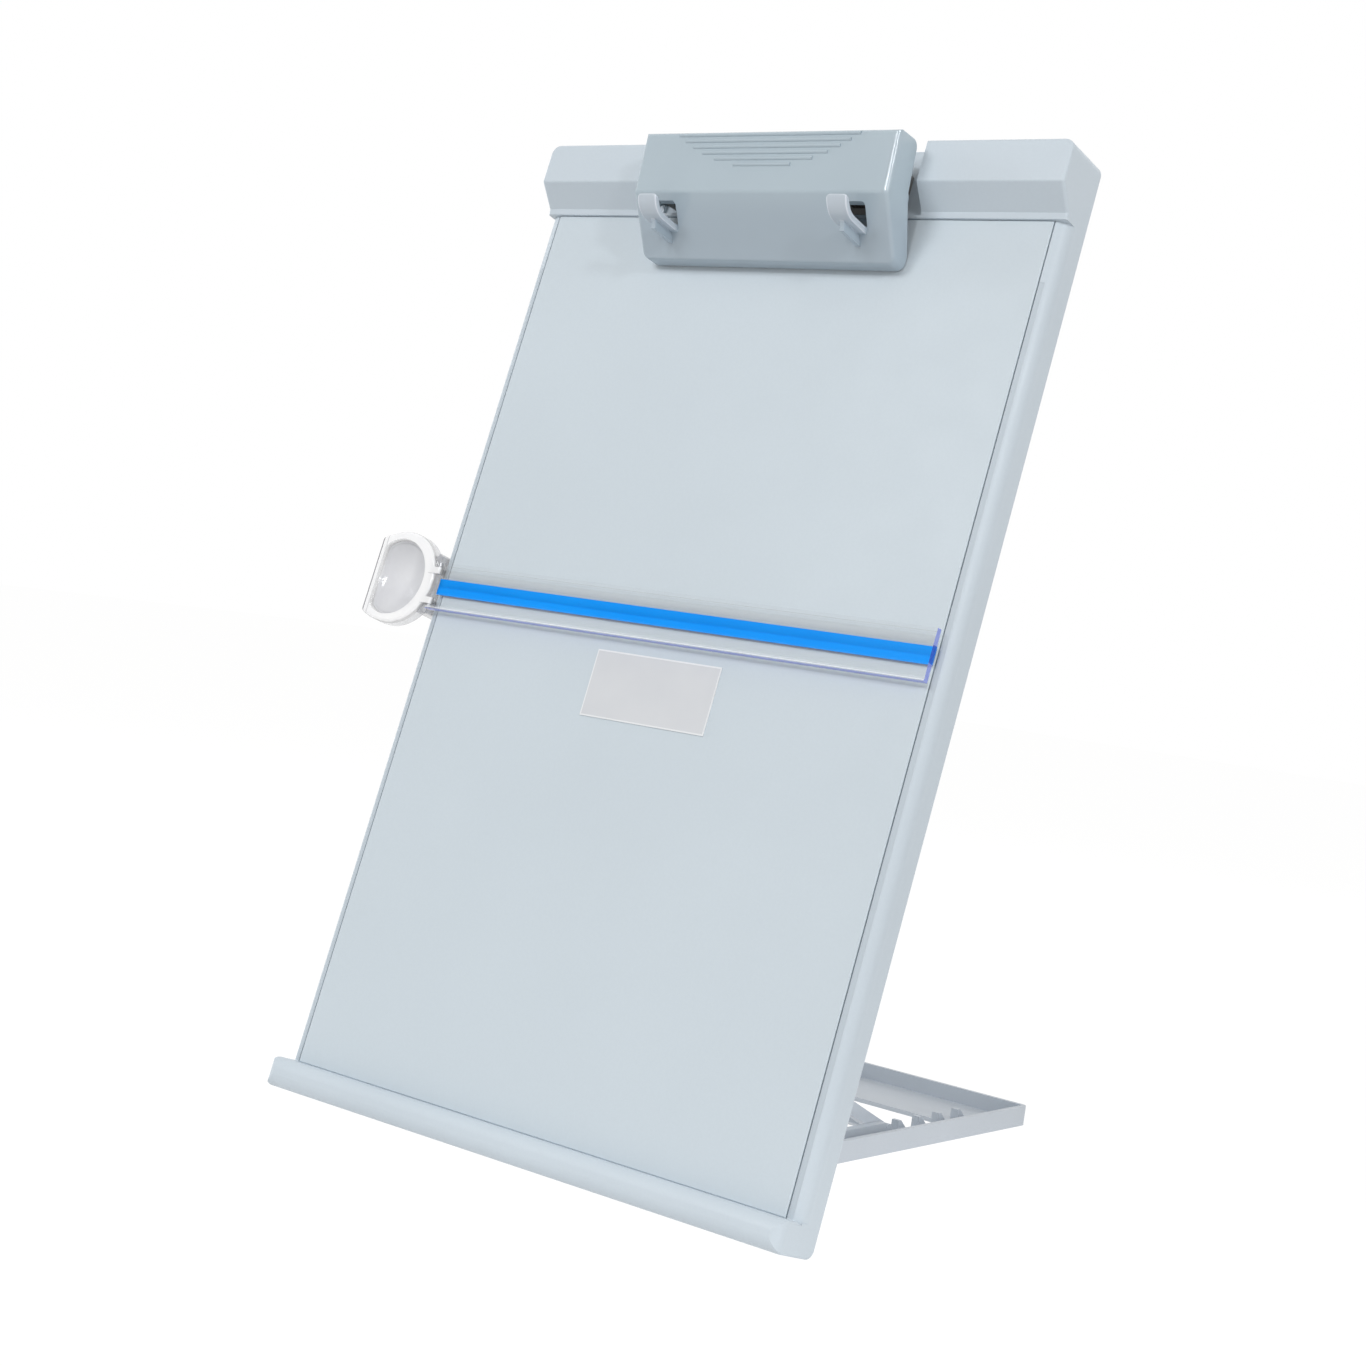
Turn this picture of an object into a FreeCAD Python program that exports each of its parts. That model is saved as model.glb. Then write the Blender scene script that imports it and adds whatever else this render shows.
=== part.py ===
"""Desktop copy holder with a sliding line guide, as a parametric FreeCAD document.

Board pieces are drawn in the board's own frame: X to the right, Y up the slope of the panel
from the paper ledge, Z out of the front face, with the panel's face at Z = 0.  The foot is
drawn on the desk, and the prop along its own length from its pivot.  The document's origin is
on the desk, under the middle of the foot's front floor.
"""
import FreeCAD, Part
import math
import os
import Sketcher

V = FreeCAD.Vector

# Driving dimensions in millimetres, angles in degrees.
SIZES = {
    # board
    "lean": 76.3,              # angle between board and desk
    "board_wide": 228.5,
    "board_deep": 14.4,        # panel face to back
    "panel_high": 342.5,       # ledge line to header lip
    "border_wide": 4.95,       # from the board's side to the groove
    "border_drop": 0.5,        # border behind the panel's face
    "groove_wide": 0.45,
    "shoulder_in": 0.6,        # flat of the border before its rounded shoulder
    "shoulder_round": 5.5,
    "panel_gap": 0.05,         # panel to the ledge and to the header
    "panel_thick": 2.2,
    "panel_edge": 0.35,        # bevel round the panel
    "web_thick": 1.6,          # wall behind the panel
    "wall": 2.2,
    "ledge_top": 0.4,          # ledge's upper face above the ledge line
    "ledge_drop": 10.45,       # how far the ledge reaches below the panel
    "ledge_rise": 9.4,         # how far it stands out of the panel
    "ledge_round": 4.6,
    "ledge_corner": 4.0,       # front corners at the ledge's ends
    "heel_round": 3.5,         # bottom back corner, which stands on the desk
    "side_round": 1.0,
    # header
    "header_high": 25.6,       # header lip to the top front edge
    "header_rise": 9.9,
    "header_slope": 9.8,       # height of the sloping lower face, lip included
    "lip_high": 2.1,
    "lip_rise": 1.6,
    "top_slope": 1.2,          # how much the back of the header stands above its front
    "notch_gap": 1.5,          # clip to the header beside it
    "notch_lip": 0.9,          # lip left across the notch
    "header_round": 1.2,
    "header_corner": 3.7,      # between the header's top and its ends
    # label on the panel
    "label_wide": 55.0,
    "label_high": 25.0,
    "label_from_ledge": 146.9,
    "label_thick": 0.4,
    # rear cover and its screws
    "cover_thick": 1.8,
    "cover_gap": 0.25,
    "screw_head": 2.9,         # head radius
    "screw_head_high": 1.1,
    "screw_shank": 1.25,       # shank radius
    "screw_long": 7.5,
    "boss_round": 3.6,
    "screw_from_side": 19.0,
    "screw_from_end": 12.0,
    "rib_thick": 1.6,
    # clip
    "clip_wide": 111.0,
    "clip_wall": 2.2,
    "clip_top": 21.75,         # header lip to the clip's top edge
    "clip_rise": 25.4,
    "clip_bend": 1.2,          # the bend lies this far below the header lip
    "clip_bend_rise": 23.0,
    "clip_low": 20.6,          # the jaw lies this far below the header lip
    "clip_low_rise": 6.9,
    "jaw_gap": 0.4,            # jaw to panel at rest
    "clip_back": 13.2,         # height of the open rear edge at the top
    "clip_edge": 1.5,
    "clip_corner": 3.0,        # between the clip's lower edge and its ends
    "clip_rear_round": 3.0,    # between its top and its open rear edge
    "pin_round": 1.5,
    "pin_above_lip": 3.5,
    "pin_rise": 9.6,
    "turning_gap": 0.05,       # radial, between a pin and what turns on it
    "ear_round": 3.6,
    "ear_thick": 3.2,
    "ear_from_side": 6.5,      # outer face of the ears from the clip's side
    "base_thick": 1.6,
    "base_high": 15.0,
    "base_screw_apart": 48.0,
    "base_screw_up": 9.0,      # above the header lip
    "hook_apart": 82.6,
    "hook_wide": 8.6,
    "hook_thick": 2.15,
    "hook_round": 9.0,        # outer radius of the hook's curve
    "hook_reach": 32.3,        # where the curve would stand straight up, above the panel
    "hook_tip": 6.6,           # tip above the hook's underside
    "hook_below_lip": 12.7,    # underside of the hook below the header lip
    "hook_edge": 0.6,          # rounding of its edges
    "hook_corner": 1.5,        # round corners of its tip
    "gusset_wide": 1.8,        # rib under the hook
    "gusset_high": 3.3,
    "gusset_out": 23.0,        # where the rib turns up, above the panel
    "window_high": 6.85,
    "window_corner": 1.4,
    "window_play": 0.35,
    "rib_count": 6,
    "rib_pitch": 2.26,
    "rib_from_top": 1.35,
    "rib_bump": 0.75,
    "rib_bowl": 69.0,          # radius of the curve that the rib ends lie on
    "rib_longest": 79.0,
    # torsion springs
    "wire_round": 0.6,
    "coil_round": 3.3,
    "coil_turns": 6,
    "coil_pitch": 1.3,
    "spring_gap": 4.0,         # coil to the ear beside it
    "spring_leg": 12.0,
    # slider and guide
    "grip_at": 187.6,          # height of the slider on the board at rest
    "grip_high": 37.0,
    "grip_flat": 30.0,
    "grip_wide": 32.1,
    "grip_overlap": 0.9,       # how far the knob reaches in over the board's side
    "grip_face": 3.2,          # knob's front face above the panel
    "grip_thick": 5.6,
    "grip_edge": 1.2,          # rounding of the knob's front edge
    "grip_corner": 1.6,        # rounding at the ends of its flat side
    "bowl_deep": 2.4,
    "bowl_rim": 3.1,
    "bowl_flat_rim": 3.2,      # rim along the flat side
    "bowl_shift": 1.8,         # bowl's round end farther out than the knob's
    "bowl_corner": 2.4,
    "bowl_round": 1.7,         # rounding of the bowl's floor
    "side_play": 0.5,
    "front_play": 0.4,
    "back_play": 0.6,
    "jaw_thick": 1.6,
    "jaw_reach": 10.7,
    "jaw_long": 23.4,
    "jaw_block": 5.3,
    "jaw_screw_apart": 13.0,
    "felt_thick": 0.5,
    "edge_wall": 1.65,
    "lug_long": 2.5,
    "lug_round": 1.3,
    "lug_play": 0.2,
    "hinge_in": 2.45,          # guide hinge axis in from the board's side
    "hinge_rise": 2.6,
    "guide_pin": 0.8,
    "guide_drop": 1.6,         # middle of the guide below the middle of the knob
    "guide_wide": 18.6,
    "guide_thick": 2.4,
    "guide_crown": 0.25,
    "bead_wide": 0.8,          # half round bead along the guide's lower edge
    "guide_end": 5.3,          # right end in from the board's side
    "guide_start": 0.1,        # left end from the hinge axis
    "tab_long": 1.8,           # guide's hinge tabs, outside the slider's lugs
    "slot_deep": 1.9,          # from the hinge axis into the guide, round the lugs
    "stripe_start": 0.8,       # left end from the hinge axis
    "stripe_wide": 6.3,
    "stripe_up": 6.4,
    "stripe_thick": 0.25,
    # foot
    "foot_wide": 94.6,
    "foot_long": 277.4,        # hinge axis to rear face
    "foot_high": 8.4,
    "foot_wall": 2.0,
    "foot_floor": 1.8,
    "foot_corner": 3.0,
    "foot_play": 1.0,          # foot to the walls of its bay
    "front_floor": 24.0,
    "rear_floor": 42.0,
    "rail_high": 7.2,
    "rail_thick": 3.2,
    "rail_gap": 0.4,           # prop arm to rail
    "tooth_first": 189.3,
    "tooth_pitch": 16.3,
    "tooth_count": 4,
    "tooth_slope": 10.0,
    "tooth_root": 1.0,
    "rail_clear": 9.5,         # length of the first notch
    "foot_sink": 0.8,          # folded foot below the board's back
    "fold_play": 1.0,          # folded foot to the floor of its bay
    "bay_gap": 14.2,           # folded foot to the end of its bay
    "stub_grip": 9.5,          # how far a foot pin sits in the board
    "knuckle_long": 9.3,
    # prop
    "fold_gap": 1.0,           # folded tip to the end of the rails
    "prop_play": 0.4,          # folded prop to the floor of the bay
    "prop_wide": 62.0,
    "prop_arm": 5.0,
    "prop_round": 3.4,
    "prop_tip": 2.4,
    "prop_tip_high": 3.8,      # tip's axis above the desk
    "prop_gap": 3.0,           # tip to the first tooth
    "tip_bar": 7.0,
    "lug_reach": 2.7,          # tip lugs beyond the arms
    "prop_ear": 3.5,
    "prop_ear_gap": 1.0,
}


class Size:
    """A number that carries the spreadsheet formula it comes from."""

    def __init__(self, value, text):
        self.value = float(value)
        self.text = text

    def _with(self, other, sign, value, swapped=False):
        other = size(other)
        first, second = (other, self) if swapped else (self, other)
        return Size(value(first.value, second.value), f"({first.text} {sign} {second.text})")

    def __add__(self, other):
        return self._with(other, "+", lambda a, b: a + b)

    def __radd__(self, other):
        return self._with(other, "+", lambda a, b: a + b, swapped=True)

    def __sub__(self, other):
        return self._with(other, "-", lambda a, b: a - b)

    def __rsub__(self, other):
        return self._with(other, "-", lambda a, b: a - b, swapped=True)

    def __mul__(self, other):
        return self._with(other, "*", lambda a, b: a * b)

    def __rmul__(self, other):
        return self._with(other, "*", lambda a, b: a * b, swapped=True)

    def __truediv__(self, other):
        return self._with(other, "/", lambda a, b: a / b)

    def __neg__(self):
        return Size(-self.value, f"(0 - {self.text})")


def size(number):
    """A plain number or a Size, as a Size."""
    return number if isinstance(number, Size) else Size(number, repr(round(float(number), 9)))


def root(square):
    return Size(math.sqrt(square.value), f"sqrt({square.text})")


doc = FreeCAD.newDocument("copy_holder")
sheet = doc.addObject("Spreadsheet::Sheet", "Spec")
for row, (alias, number) in enumerate(SIZES.items(), start=1):
    sheet.set(f"A{row}", alias)
    sheet.set(f"B{row}", str(number))
    sheet.setAlias(f"B{row}", alias)
doc.recompute()


def cell(alias):
    """A cell of the spreadsheet."""
    return Size(sheet.get(alias), f"Spec.{alias}")


def many(alias):
    return int(sheet.get(alias))


BOUND = []                     # (object, property or constraint number, value) of each formula
NODES = []                     # every finished piece


def bind(thing, name, number):
    """Drive one property of an object from the spreadsheet."""
    number = size(number)
    thing.setExpression(name, number.text)
    if "." not in name:
        BOUND.append((thing, name, number.value))


# ------------------------------------------------------------------ drawing helpers

def body(label):
    piece = doc.addObject("PartDesign::Body", label)
    piece.Label = label
    NODES.append(piece)
    return piece


def base_plane(piece, role):
    return next(o for o in piece.Origin.OriginFeatures if o.Role == role)


def blank_sketch(piece, plane, offset):
    """An empty sketch on YZ, XY or XZ of the body, moved along that plane's normal."""
    sketch = piece.newObject("Sketcher::SketchObject", f"{piece.Name}_sketch")
    sketch.AttachmentSupport = [(base_plane(piece, plane + "_Plane"), "")]
    sketch.MapMode = "FlatFace"
    offset = size(offset)
    sketch.AttachmentOffset = FreeCAD.Placement(V(0, 0, offset.value), FreeCAD.Rotation())
    sketch.setExpression("AttachmentOffset.Base.z", offset.text)
    return sketch


def hold(sketch, kind, geometry, position, number):
    """Fix one coordinate or radius of a sketch by a formula."""
    number = size(number)
    if kind == "Radius":
        index = sketch.addConstraint(Sketcher.Constraint(kind, geometry, number.value))
    elif number.text == "0.0":
        axis = -2 if kind == "DistanceX" else -1
        sketch.addConstraint(Sketcher.Constraint("PointOnObject", geometry, position, axis))
        return
    else:
        args = (kind, -1, 1, geometry, position, number.value)
        index = sketch.addConstraint(Sketcher.Constraint(*args))
    sketch.setExpression(f"Constraints[{index}]", number.text)
    BOUND.append((sketch, index, number.value))


def bulge_point(start, end, radius):
    """Middle of the arc from start to end; a positive radius bulges to its right."""
    chord = end - start
    half = chord.Length / 2
    sag = abs(radius) - math.sqrt(max(radius * radius - half * half, 0.0))
    right = V(chord.y, -chord.x, 0).normalize()
    return start + chord * 0.5 + right * math.copysign(sag, radius)


def outline(sketch, corners):
    """A closed outline.  A corner is (x, y), or (x, y, radius) when an arc leads to it."""
    first = len(sketch.Geometry)
    count = len(corners)
    points = [V(size(c[0]).value, size(c[1]).value, 0) for c in corners]
    ends = []
    for i in range(count):
        start, end = points[i], points[(i + 1) % count]
        target = corners[(i + 1) % count]
        if len(target) == 3:
            radius = size(target[2]).value
            middle = bulge_point(start, end, radius)
            # An arc is kept counter-clockwise, so one that bulges left runs from its end.
            forward = radius > 0
            sketch.addGeometry(Part.Arc(*((start, middle, end) if forward else (end, middle, start))))
            ends.append((1, 2) if forward else (2, 1))
        else:
            sketch.addGeometry(Part.LineSegment(start, end))
            ends.append((1, 2))
    for i in range(count):
        after = (i + 1) % count
        link = ("Coincident", first + i, ends[i][1], first + after, ends[after][0])
        sketch.addConstraint(Sketcher.Constraint(*link))
        hold(sketch, "DistanceX", first + i, ends[i][0], corners[i][0])
        hold(sketch, "DistanceY", first + i, ends[i][0], corners[i][1])
        if len(corners[after]) == 3:
            hold_arc(sketch, first + i, corners[i], corners[after])


def hold_arc(sketch, index, start, end):
    """Fix an arc by its radius, or a half circle by its centre."""
    radius = size(end[2])
    radius = radius if radius.value > 0 else -radius
    across = size(end[0]) - start[0]
    along = size(end[1]) - start[1]
    if math.hypot(across.value, along.value) < radius.value * 2 - 1e-6:
        hold(sketch, "Radius", index, 0, radius)
    elif abs(across.value) > abs(along.value):
        hold(sketch, "DistanceY", index, 3, start[1] + along / 2)
    else:
        hold(sketch, "DistanceX", index, 3, start[0] + across / 2)


def circle(sketch, x, y, radius):
    centre = V(size(x).value, size(y).value, 0)
    index = sketch.addGeometry(Part.Circle(centre, V(0, 0, 1), size(radius).value))
    hold(sketch, "DistanceX", index, 3, x)
    hold(sketch, "DistanceY", index, 3, y)
    hold(sketch, "Radius", index, 0, radius)


def rectangle(x0, y0, x1, y1):
    return [(x0, y0), (x1, y0), (x1, y1), (x0, y1)]


def feature(kind, piece, sketch, long, both, flip):
    made = piece.newObject(f"PartDesign::{kind}", f"{piece.Name}_{kind.lower()}")
    made.Profile = sketch
    if both:
        made.SideType = "Symmetric"
    made.Reversed = flip
    bind(made, "Length", long)
    sketch.Visibility = False
    return made


def add(piece, plane, corners, long, at=0, both=False, flip=False):
    """Pad an outline, or several outlines in a list of lists."""
    sketch = blank_sketch(piece, plane, at)
    draw(sketch, corners)
    return feature("Pad", piece, sketch, long, both, flip)


def cut(piece, plane, corners, long, at=0, both=False, flip=False):
    """Pocket an outline; it cuts against the plane's normal unless flipped."""
    sketch = blank_sketch(piece, plane, at)
    draw(sketch, corners)
    doc.recompute()
    before = piece.Shape.Volume
    made = feature("Pocket", piece, sketch, long, both, flip)
    doc.recompute()
    if piece.Shape.Volume > before - 1e-3:
        raise RuntimeError(f"{made.Name} cuts nothing")
    return made


def draw(sketch, corners):
    loops = corners if isinstance(corners[0], list) else [corners]
    for loop in loops:
        if loop[0] == "circle":
            circle(sketch, *loop[1:])
        else:
            outline(sketch, loop)


def blend_edges(piece, kind, amount, wanted):
    """Fillet or chamfer every edge whose middle passes the test."""
    doc.recompute()
    tip = piece.Tip
    names = []
    for i, edge in enumerate(piece.Tip.Shape.Edges, start=1):
        middle = edge.valueAt((edge.FirstParameter + edge.LastParameter) / 2)
        if wanted(middle, edge):
            names.append(f"Edge{i}")
    if not names:
        raise RuntimeError(f"{piece.Name}: no edge to {kind.lower()}")
    made = piece.newObject(f"PartDesign::{kind}", f"{piece.Name}_{kind.lower()}")
    made.Base = (tip, names)
    bind(made, "Radius" if kind == "Fillet" else "Size", amount)
    doc.recompute()
    return made


def near(a, b, slack=0.02):
    return abs(a - size(b).value) < slack


# ------------------------------------------------------------------ shared places

half_wide = cell("board_wide") / 2
inner_side = half_wide - cell("wall")
groove_at = half_wide - cell("border_wide")
back = -cell("board_deep")
web_front = -cell("panel_thick")
web_back = web_front - cell("web_thick")
ledge_low = -cell("ledge_drop")
heel_up = cell("heel_round") + ledge_low
lip = cell("panel_high")
ridge_line = lip + cell("header_slope")
header_top = lip + cell("header_high")
top_back = header_top + cell("top_slope")
header_rise = cell("header_rise")
ledge_top = cell("ledge_top")
border_face = -cell("border_drop")
notch = (cell("clip_wide") / 2) + cell("notch_gap")

lean = cell("lean")
cos_lean = Size(math.cos(math.radians(lean.value)), f"cos({lean.text})")
sin_lean = Size(math.sin(math.radians(lean.value)), f"sin({lean.text})")

# The heel's round corner touches the desk; the hinge axis lies half a foot's height above it.
heel_w = back + cell("heel_round")
board_z = cell("heel_round") - heel_up * sin_lean - heel_w * cos_lean
hinge_z = cell("foot_high") / 2
hinge_w = back + cell("foot_sink") + hinge_z
hinge_v = (hinge_z - board_z - hinge_w * cos_lean) / sin_lean
hinge_y = -cell("front_floor") / 2
board_y = hinge_y + hinge_w * sin_lean - hinge_v * cos_lean

bay_half = cell("foot_wide") / 2 + cell("foot_play")
bay_wall = bay_half + cell("wall")
bay_top = hinge_v + cell("foot_long") + cell("bay_gap")
bay_floor = hinge_w + cell("foot_high") / 2 + cell("fold_play")
cover_back = back + 0.1
cover_front = cover_back + cell("cover_thick")

# The tip stands before the first tooth, and folds to just past the last one.  Both distances
# from the foot's hinge axis give the place of the prop's pivot up the board.
tip_y = cell("tooth_first") - cell("prop_gap") - cell("prop_tip")
tip_z = cell("prop_tip_high")
rail_end = (cell("tooth_first") + cell("tooth_pitch") * (many("tooth_count") - 1)
            + cell("tooth_slope"))
fold_y = rail_end + cell("fold_gap") + cell("prop_tip")
prop_w = bay_floor - cell("prop_play") - cell("prop_round")
tip_rise = tip_z - hinge_z
tip_up = tip_y * cos_lean + tip_rise * sin_lean
tip_out = tip_rise * cos_lean - tip_y * sin_lean - (prop_w - hinge_w)
pivot_up = (fold_y * fold_y - tip_up * tip_up - tip_out * tip_out) / ((fold_y - tip_up) * 2)
prop_long = fold_y - pivot_up
prop_v = hinge_v + pivot_up
prop_y = board_y + prop_v * cos_lean - prop_w * sin_lean
prop_z = board_z + prop_v * sin_lean + prop_w * cos_lean
prop_run = hinge_y + tip_y - prop_y
prop_drop = tip_z - prop_z
prop_angle = Size(math.degrees(math.atan2(prop_drop.value, prop_run.value)),
                  f"(atan2({prop_drop.text}; {prop_run.text}) / 1deg)")

pin = cell("pin_round")
turning = pin + cell("turning_gap")
clip_pin_v = lip + cell("pin_above_lip")
clip_pin_w = cell("pin_rise")


def lay_on_board(piece):
    """Lean a piece that is drawn in the board's frame."""
    turn = FreeCAD.Rotation(V(1, 0, 0), lean.value)
    piece.Placement = FreeCAD.Placement(V(0, board_y.value, board_z.value), turn)
    bind(piece, "Placement.Base.y", board_y)
    bind(piece, "Placement.Base.z", board_z)
    bind(piece, "Placement.Rotation.Angle", lean)


# ------------------------------------------------------------------ board

def screw_places():
    """Cover screws, as (x, y): four down each side."""
    x = half_wide - cell("screw_from_side")
    low = cell("screw_from_end")
    step = (header_top - low * 2) / 3
    return [(x * side, low + step * i) for side in (-1, 1) for i in range(4)]


def base_screw_places():
    x = cell("base_screw_apart") / 2
    return [(x * side, lip + cell("base_screw_up")) for side in (-1, 1)]


def make_frame_body():
    piece = body("frame_body")
    rise = cell("ledge_rise")
    turn = cell("ledge_round")
    lip_rise = cell("lip_rise")
    add(piece, "YZ", [
        (heel_up, back, cell("heel_round")), (top_back, back), (header_top, header_rise),
        (ridge_line, header_rise), (lip + cell("lip_high"), lip_rise), (lip, lip_rise - 0.5),
        (lip, web_front), (ledge_top, web_front), (ledge_top, rise - turn),
        (ledge_top - turn, rise, turn), (ledge_low + turn, rise),
        (ledge_low, rise - turn, turn), (ledge_low, heel_w)], cell("board_wide"), both=True)

    def top_corner(middle, edge):
        return near(abs(middle.x), half_wide) and middle.y > header_top.value

    def header_edge(middle, edge):
        across = abs(edge.Curve.Direction.x) > 0.9 if edge.Curve.TypeId == "Part::GeomLine" else False
        on_top = near(middle.y, header_top) and near(middle.z, header_rise)
        on_ridge = near(middle.y, ridge_line) and near(middle.z, header_rise)
        on_end = near(abs(middle.x), half_wide) and middle.y > lip.value and middle.z > 1.0
        return (across and (on_top or on_ridge)) or on_end

    def ledge_end(middle, edge):
        return near(abs(middle.x), half_wide) and middle.y < 0.5 and middle.z > 0.0

    blend_edges(piece, "Fillet", cell("header_corner"), top_corner)
    blend_edges(piece, "Fillet", cell("header_round"), header_edge)
    blend_edges(piece, "Fillet", cell("side_round"), ledge_end)

    shoulder = cell("shoulder_round")
    flat_end = groove_at + cell("shoulder_in")
    arc_in = shoulder - (half_wide - flat_end)
    shoulder_low = border_face - root(shoulder * shoulder - arc_in * arc_in)
    corner = cell("ledge_corner")
    beyond = half_wide + 1
    for side in (-1, 1):
        add(piece, "XY", rectangle(groove_at * side, ledge_top - 0.2, half_wide * side, lip + 0.5),
            border_face - web_front + 0.2, at=web_front - 0.2)
        cut(piece, "XZ", [
            (flat_end * side, border_face), (half_wide * side, shoulder_low, shoulder * -side),
            (beyond * side, shoulder_low), (beyond * side, 1), (flat_end * side, 1)],
            lip - ledge_top, at=-ledge_top)
        cut(piece, "XZ", [
            ((half_wide - corner) * side, rise), (half_wide * side, rise - corner, corner * -side),
            (beyond * side, rise - corner), (beyond * side, rise + 1),
            ((half_wide - corner) * side, rise + 1)],
            ledge_top - ledge_low + 1, at=-(ledge_low - 0.5))

    cut(piece, "XY", rectangle(-notch, lip + cell("notch_lip"), notch, top_back + 2),
        header_rise + 2, at=header_rise + 2)

    cut(piece, "XY", rectangle(-inner_side, heel_up, inner_side, header_top - cell("wall") + 1),
        web_back - back, at=back, flip=True)

    hollow_long = inner_side - notch - cell("wall")
    hollow_at = (inner_side + notch + cell("wall")) / 2
    roof = header_rise - cell("wall")
    for side in (-1, 1):
        cut(piece, "YZ", [
            (lip + 4, web_back - 0.5), (header_top - cell("wall"), web_back - 0.5),
            (header_top - cell("wall"), roof), (ridge_line + 1, roof), (lip + 4, roof - 6.9)],
            hollow_long, at=hollow_at * side, both=True)

    add(piece, "XY", rectangle(-bay_wall, heel_up - 0.5, bay_wall, bay_top + cell("wall")),
        web_back + 0.2 - back, at=back)
    cut(piece, "XY", rectangle(-bay_half, ledge_low - 1, bay_half, bay_top),
        bay_floor - back, at=back, flip=True)

    rib_rows = 5
    rib_top = cover_front + 0.2
    for side in (-1, 1):
        for i in range(1, rib_rows + 1):
            low = header_top * i / (rib_rows + 1) - cell("rib_thick") / 2
            x0 = (bay_wall - 0.2) * side
            x1 = (inner_side + 0.2) * side
            add(piece, "XY", rectangle(x0, low, x1, low + cell("rib_thick")),
                web_back + 0.2 - rib_top, at=rib_top)

    bosses = [["circle", x, y, cell("boss_round")] for x, y in screw_places()]
    in_header = [loop for loop in bosses if loop[2].value > lip.value]
    on_web = [loop for loop in bosses if loop not in in_header]
    add(piece, "XY", on_web, web_back + 0.2 - cover_front, at=cover_front)
    add(piece, "XY", in_header, roof + 0.3 - cover_front, at=cover_front)
    holes = [["circle", x, y, cell("screw_shank") + 0.02] for x, y in screw_places()]
    cut(piece, "XY", holes, cell("screw_long"), at=cover_front, flip=True)
    holes = [["circle", x, y, cell("screw_shank") + 0.02] for x, y in base_screw_places()]
    cut(piece, "XY", holes, -web_back + 1, at=1)

    stub = bay_half + cell("stub_grip") + 0.3
    cut(piece, "YZ", [["circle", hinge_v, hinge_w, pin]], stub * 2, both=True)

    ear_at = cell("prop_wide") / 2 - cell("prop_arm") - cell("prop_ear_gap") - cell("prop_ear") / 2
    ear = cell("prop_round")
    floor = bay_floor + 0.1
    for side in (-1, 1):
        add(piece, "YZ", [
            (prop_v + ear + 1, floor), (prop_v + ear, prop_w),
            (prop_v - ear, prop_w, -ear), (prop_v - ear - 1, floor)],
            cell("prop_ear"), at=ear_at * side, both=True)
    cut(piece, "YZ", [["circle", prop_v, prop_w, pin]], ear_at * 2 + cell("prop_ear") + 1, both=True)
    lay_on_board(piece)


def make_front_panel():
    piece = body("front_panel")
    edge = groove_at - cell("groove_wide")
    gap = cell("panel_gap")
    add(piece, "XY", rectangle(-edge, ledge_top + gap, edge, lip - gap), cell("panel_thick"),
        at=web_front)
    blend_edges(piece, "Chamfer", cell("panel_edge"), lambda middle, edge: near(middle.z, 0))
    lay_on_board(piece)


def make_label_plate():
    piece = body("label_plate")
    wide = cell("label_wide") / 2
    low = cell("label_from_ledge")
    add(piece, "XY", rectangle(-wide, low, wide, low + cell("label_high")), cell("label_thick"))
    lay_on_board(piece)


def make_rear_cover():
    piece = body("rear_cover")
    gap = cell("cover_gap")
    side = inner_side - gap
    bay = bay_wall + gap
    low = heel_up + gap
    top = header_top - cell("wall") + 1 - gap
    add(piece, "XY", [
        (-side, low), (-bay, low), (-bay, bay_top + cell("wall") + gap),
        (bay, bay_top + cell("wall") + gap), (bay, low), (side, low), (side, top), (-side, top)],
        cell("cover_thick"), at=cover_back)
    through = [["circle", x, y, cell("screw_shank") + 0.25] for x, y in screw_places()]
    cut(piece, "XY", through, cell("cover_thick") + 1, at=cover_front + 0.5)
    sunk = [["circle", x, y, cell("screw_head") + 0.15] for x, y in screw_places()]
    cut(piece, "XY", sunk, cell("screw_head_high") + 0.1, at=cover_back, flip=True)
    lay_on_board(piece)


def group(label, members):
    """One node of several separate solids."""
    piece = doc.addObject("Part::Compound", label)
    piece.Label = label
    piece.Links = members
    NODES.append(piece)
    return piece


def rod(name, radius, long, x, y, z, turn):
    """A cylinder from (x, y, z), along Z after the given turn."""
    made = doc.addObject("Part::Cylinder", name)
    places = [size(x), size(y), size(z)]
    made.Placement = FreeCAD.Placement(V(*[p.value for p in places]), turn)
    bind(made, "Radius", radius)
    bind(made, "Height", long)
    for axis, place in zip("xyz", places):
        bind(made, f"Placement.Base.{axis}", place)
    return made


def screw(name, x, y, head_at, long, outward):
    """A tapping screw with a cross recess; outward is +1 or -1 along the board's normal."""
    turn = FreeCAD.Rotation() if outward < 0 else FreeCAD.Rotation(V(1, 0, 0), 180)
    high = cell("screw_head_high")
    head = rod(name + "_head", cell("screw_head"), high, x, y, head_at, turn)
    shank = rod(name + "_shank", cell("screw_shank"), long + high, x, y, head_at, turn)
    whole = doc.addObject("Part::MultiFuse", name + "_whole")
    whole.Shapes = [head, shank]
    cross = doc.addObject("Part::MultiFuse", name + "_cross")
    slots = []
    for wide, deep in ((cell("screw_head") * 1.1, cell("screw_shank") * 0.5),
                       (cell("screw_shank") * 0.5, cell("screw_head") * 1.1)):
        slot = doc.addObject("Part::Box", name + "_slot")
        bind(slot, "Length", wide)
        bind(slot, "Width", deep)
        bind(slot, "Height", high * 1.2)
        bind(slot, "Placement.Base.x", x - wide / 2)
        bind(slot, "Placement.Base.y", y - deep / 2)
        bind(slot, "Placement.Base.z", head_at - high * 0.6)
        slots.append(slot)
    cross.Shapes = slots
    made = doc.addObject("Part::Cut", name)
    made.Base = whole
    made.Tool = cross
    return made


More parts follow.
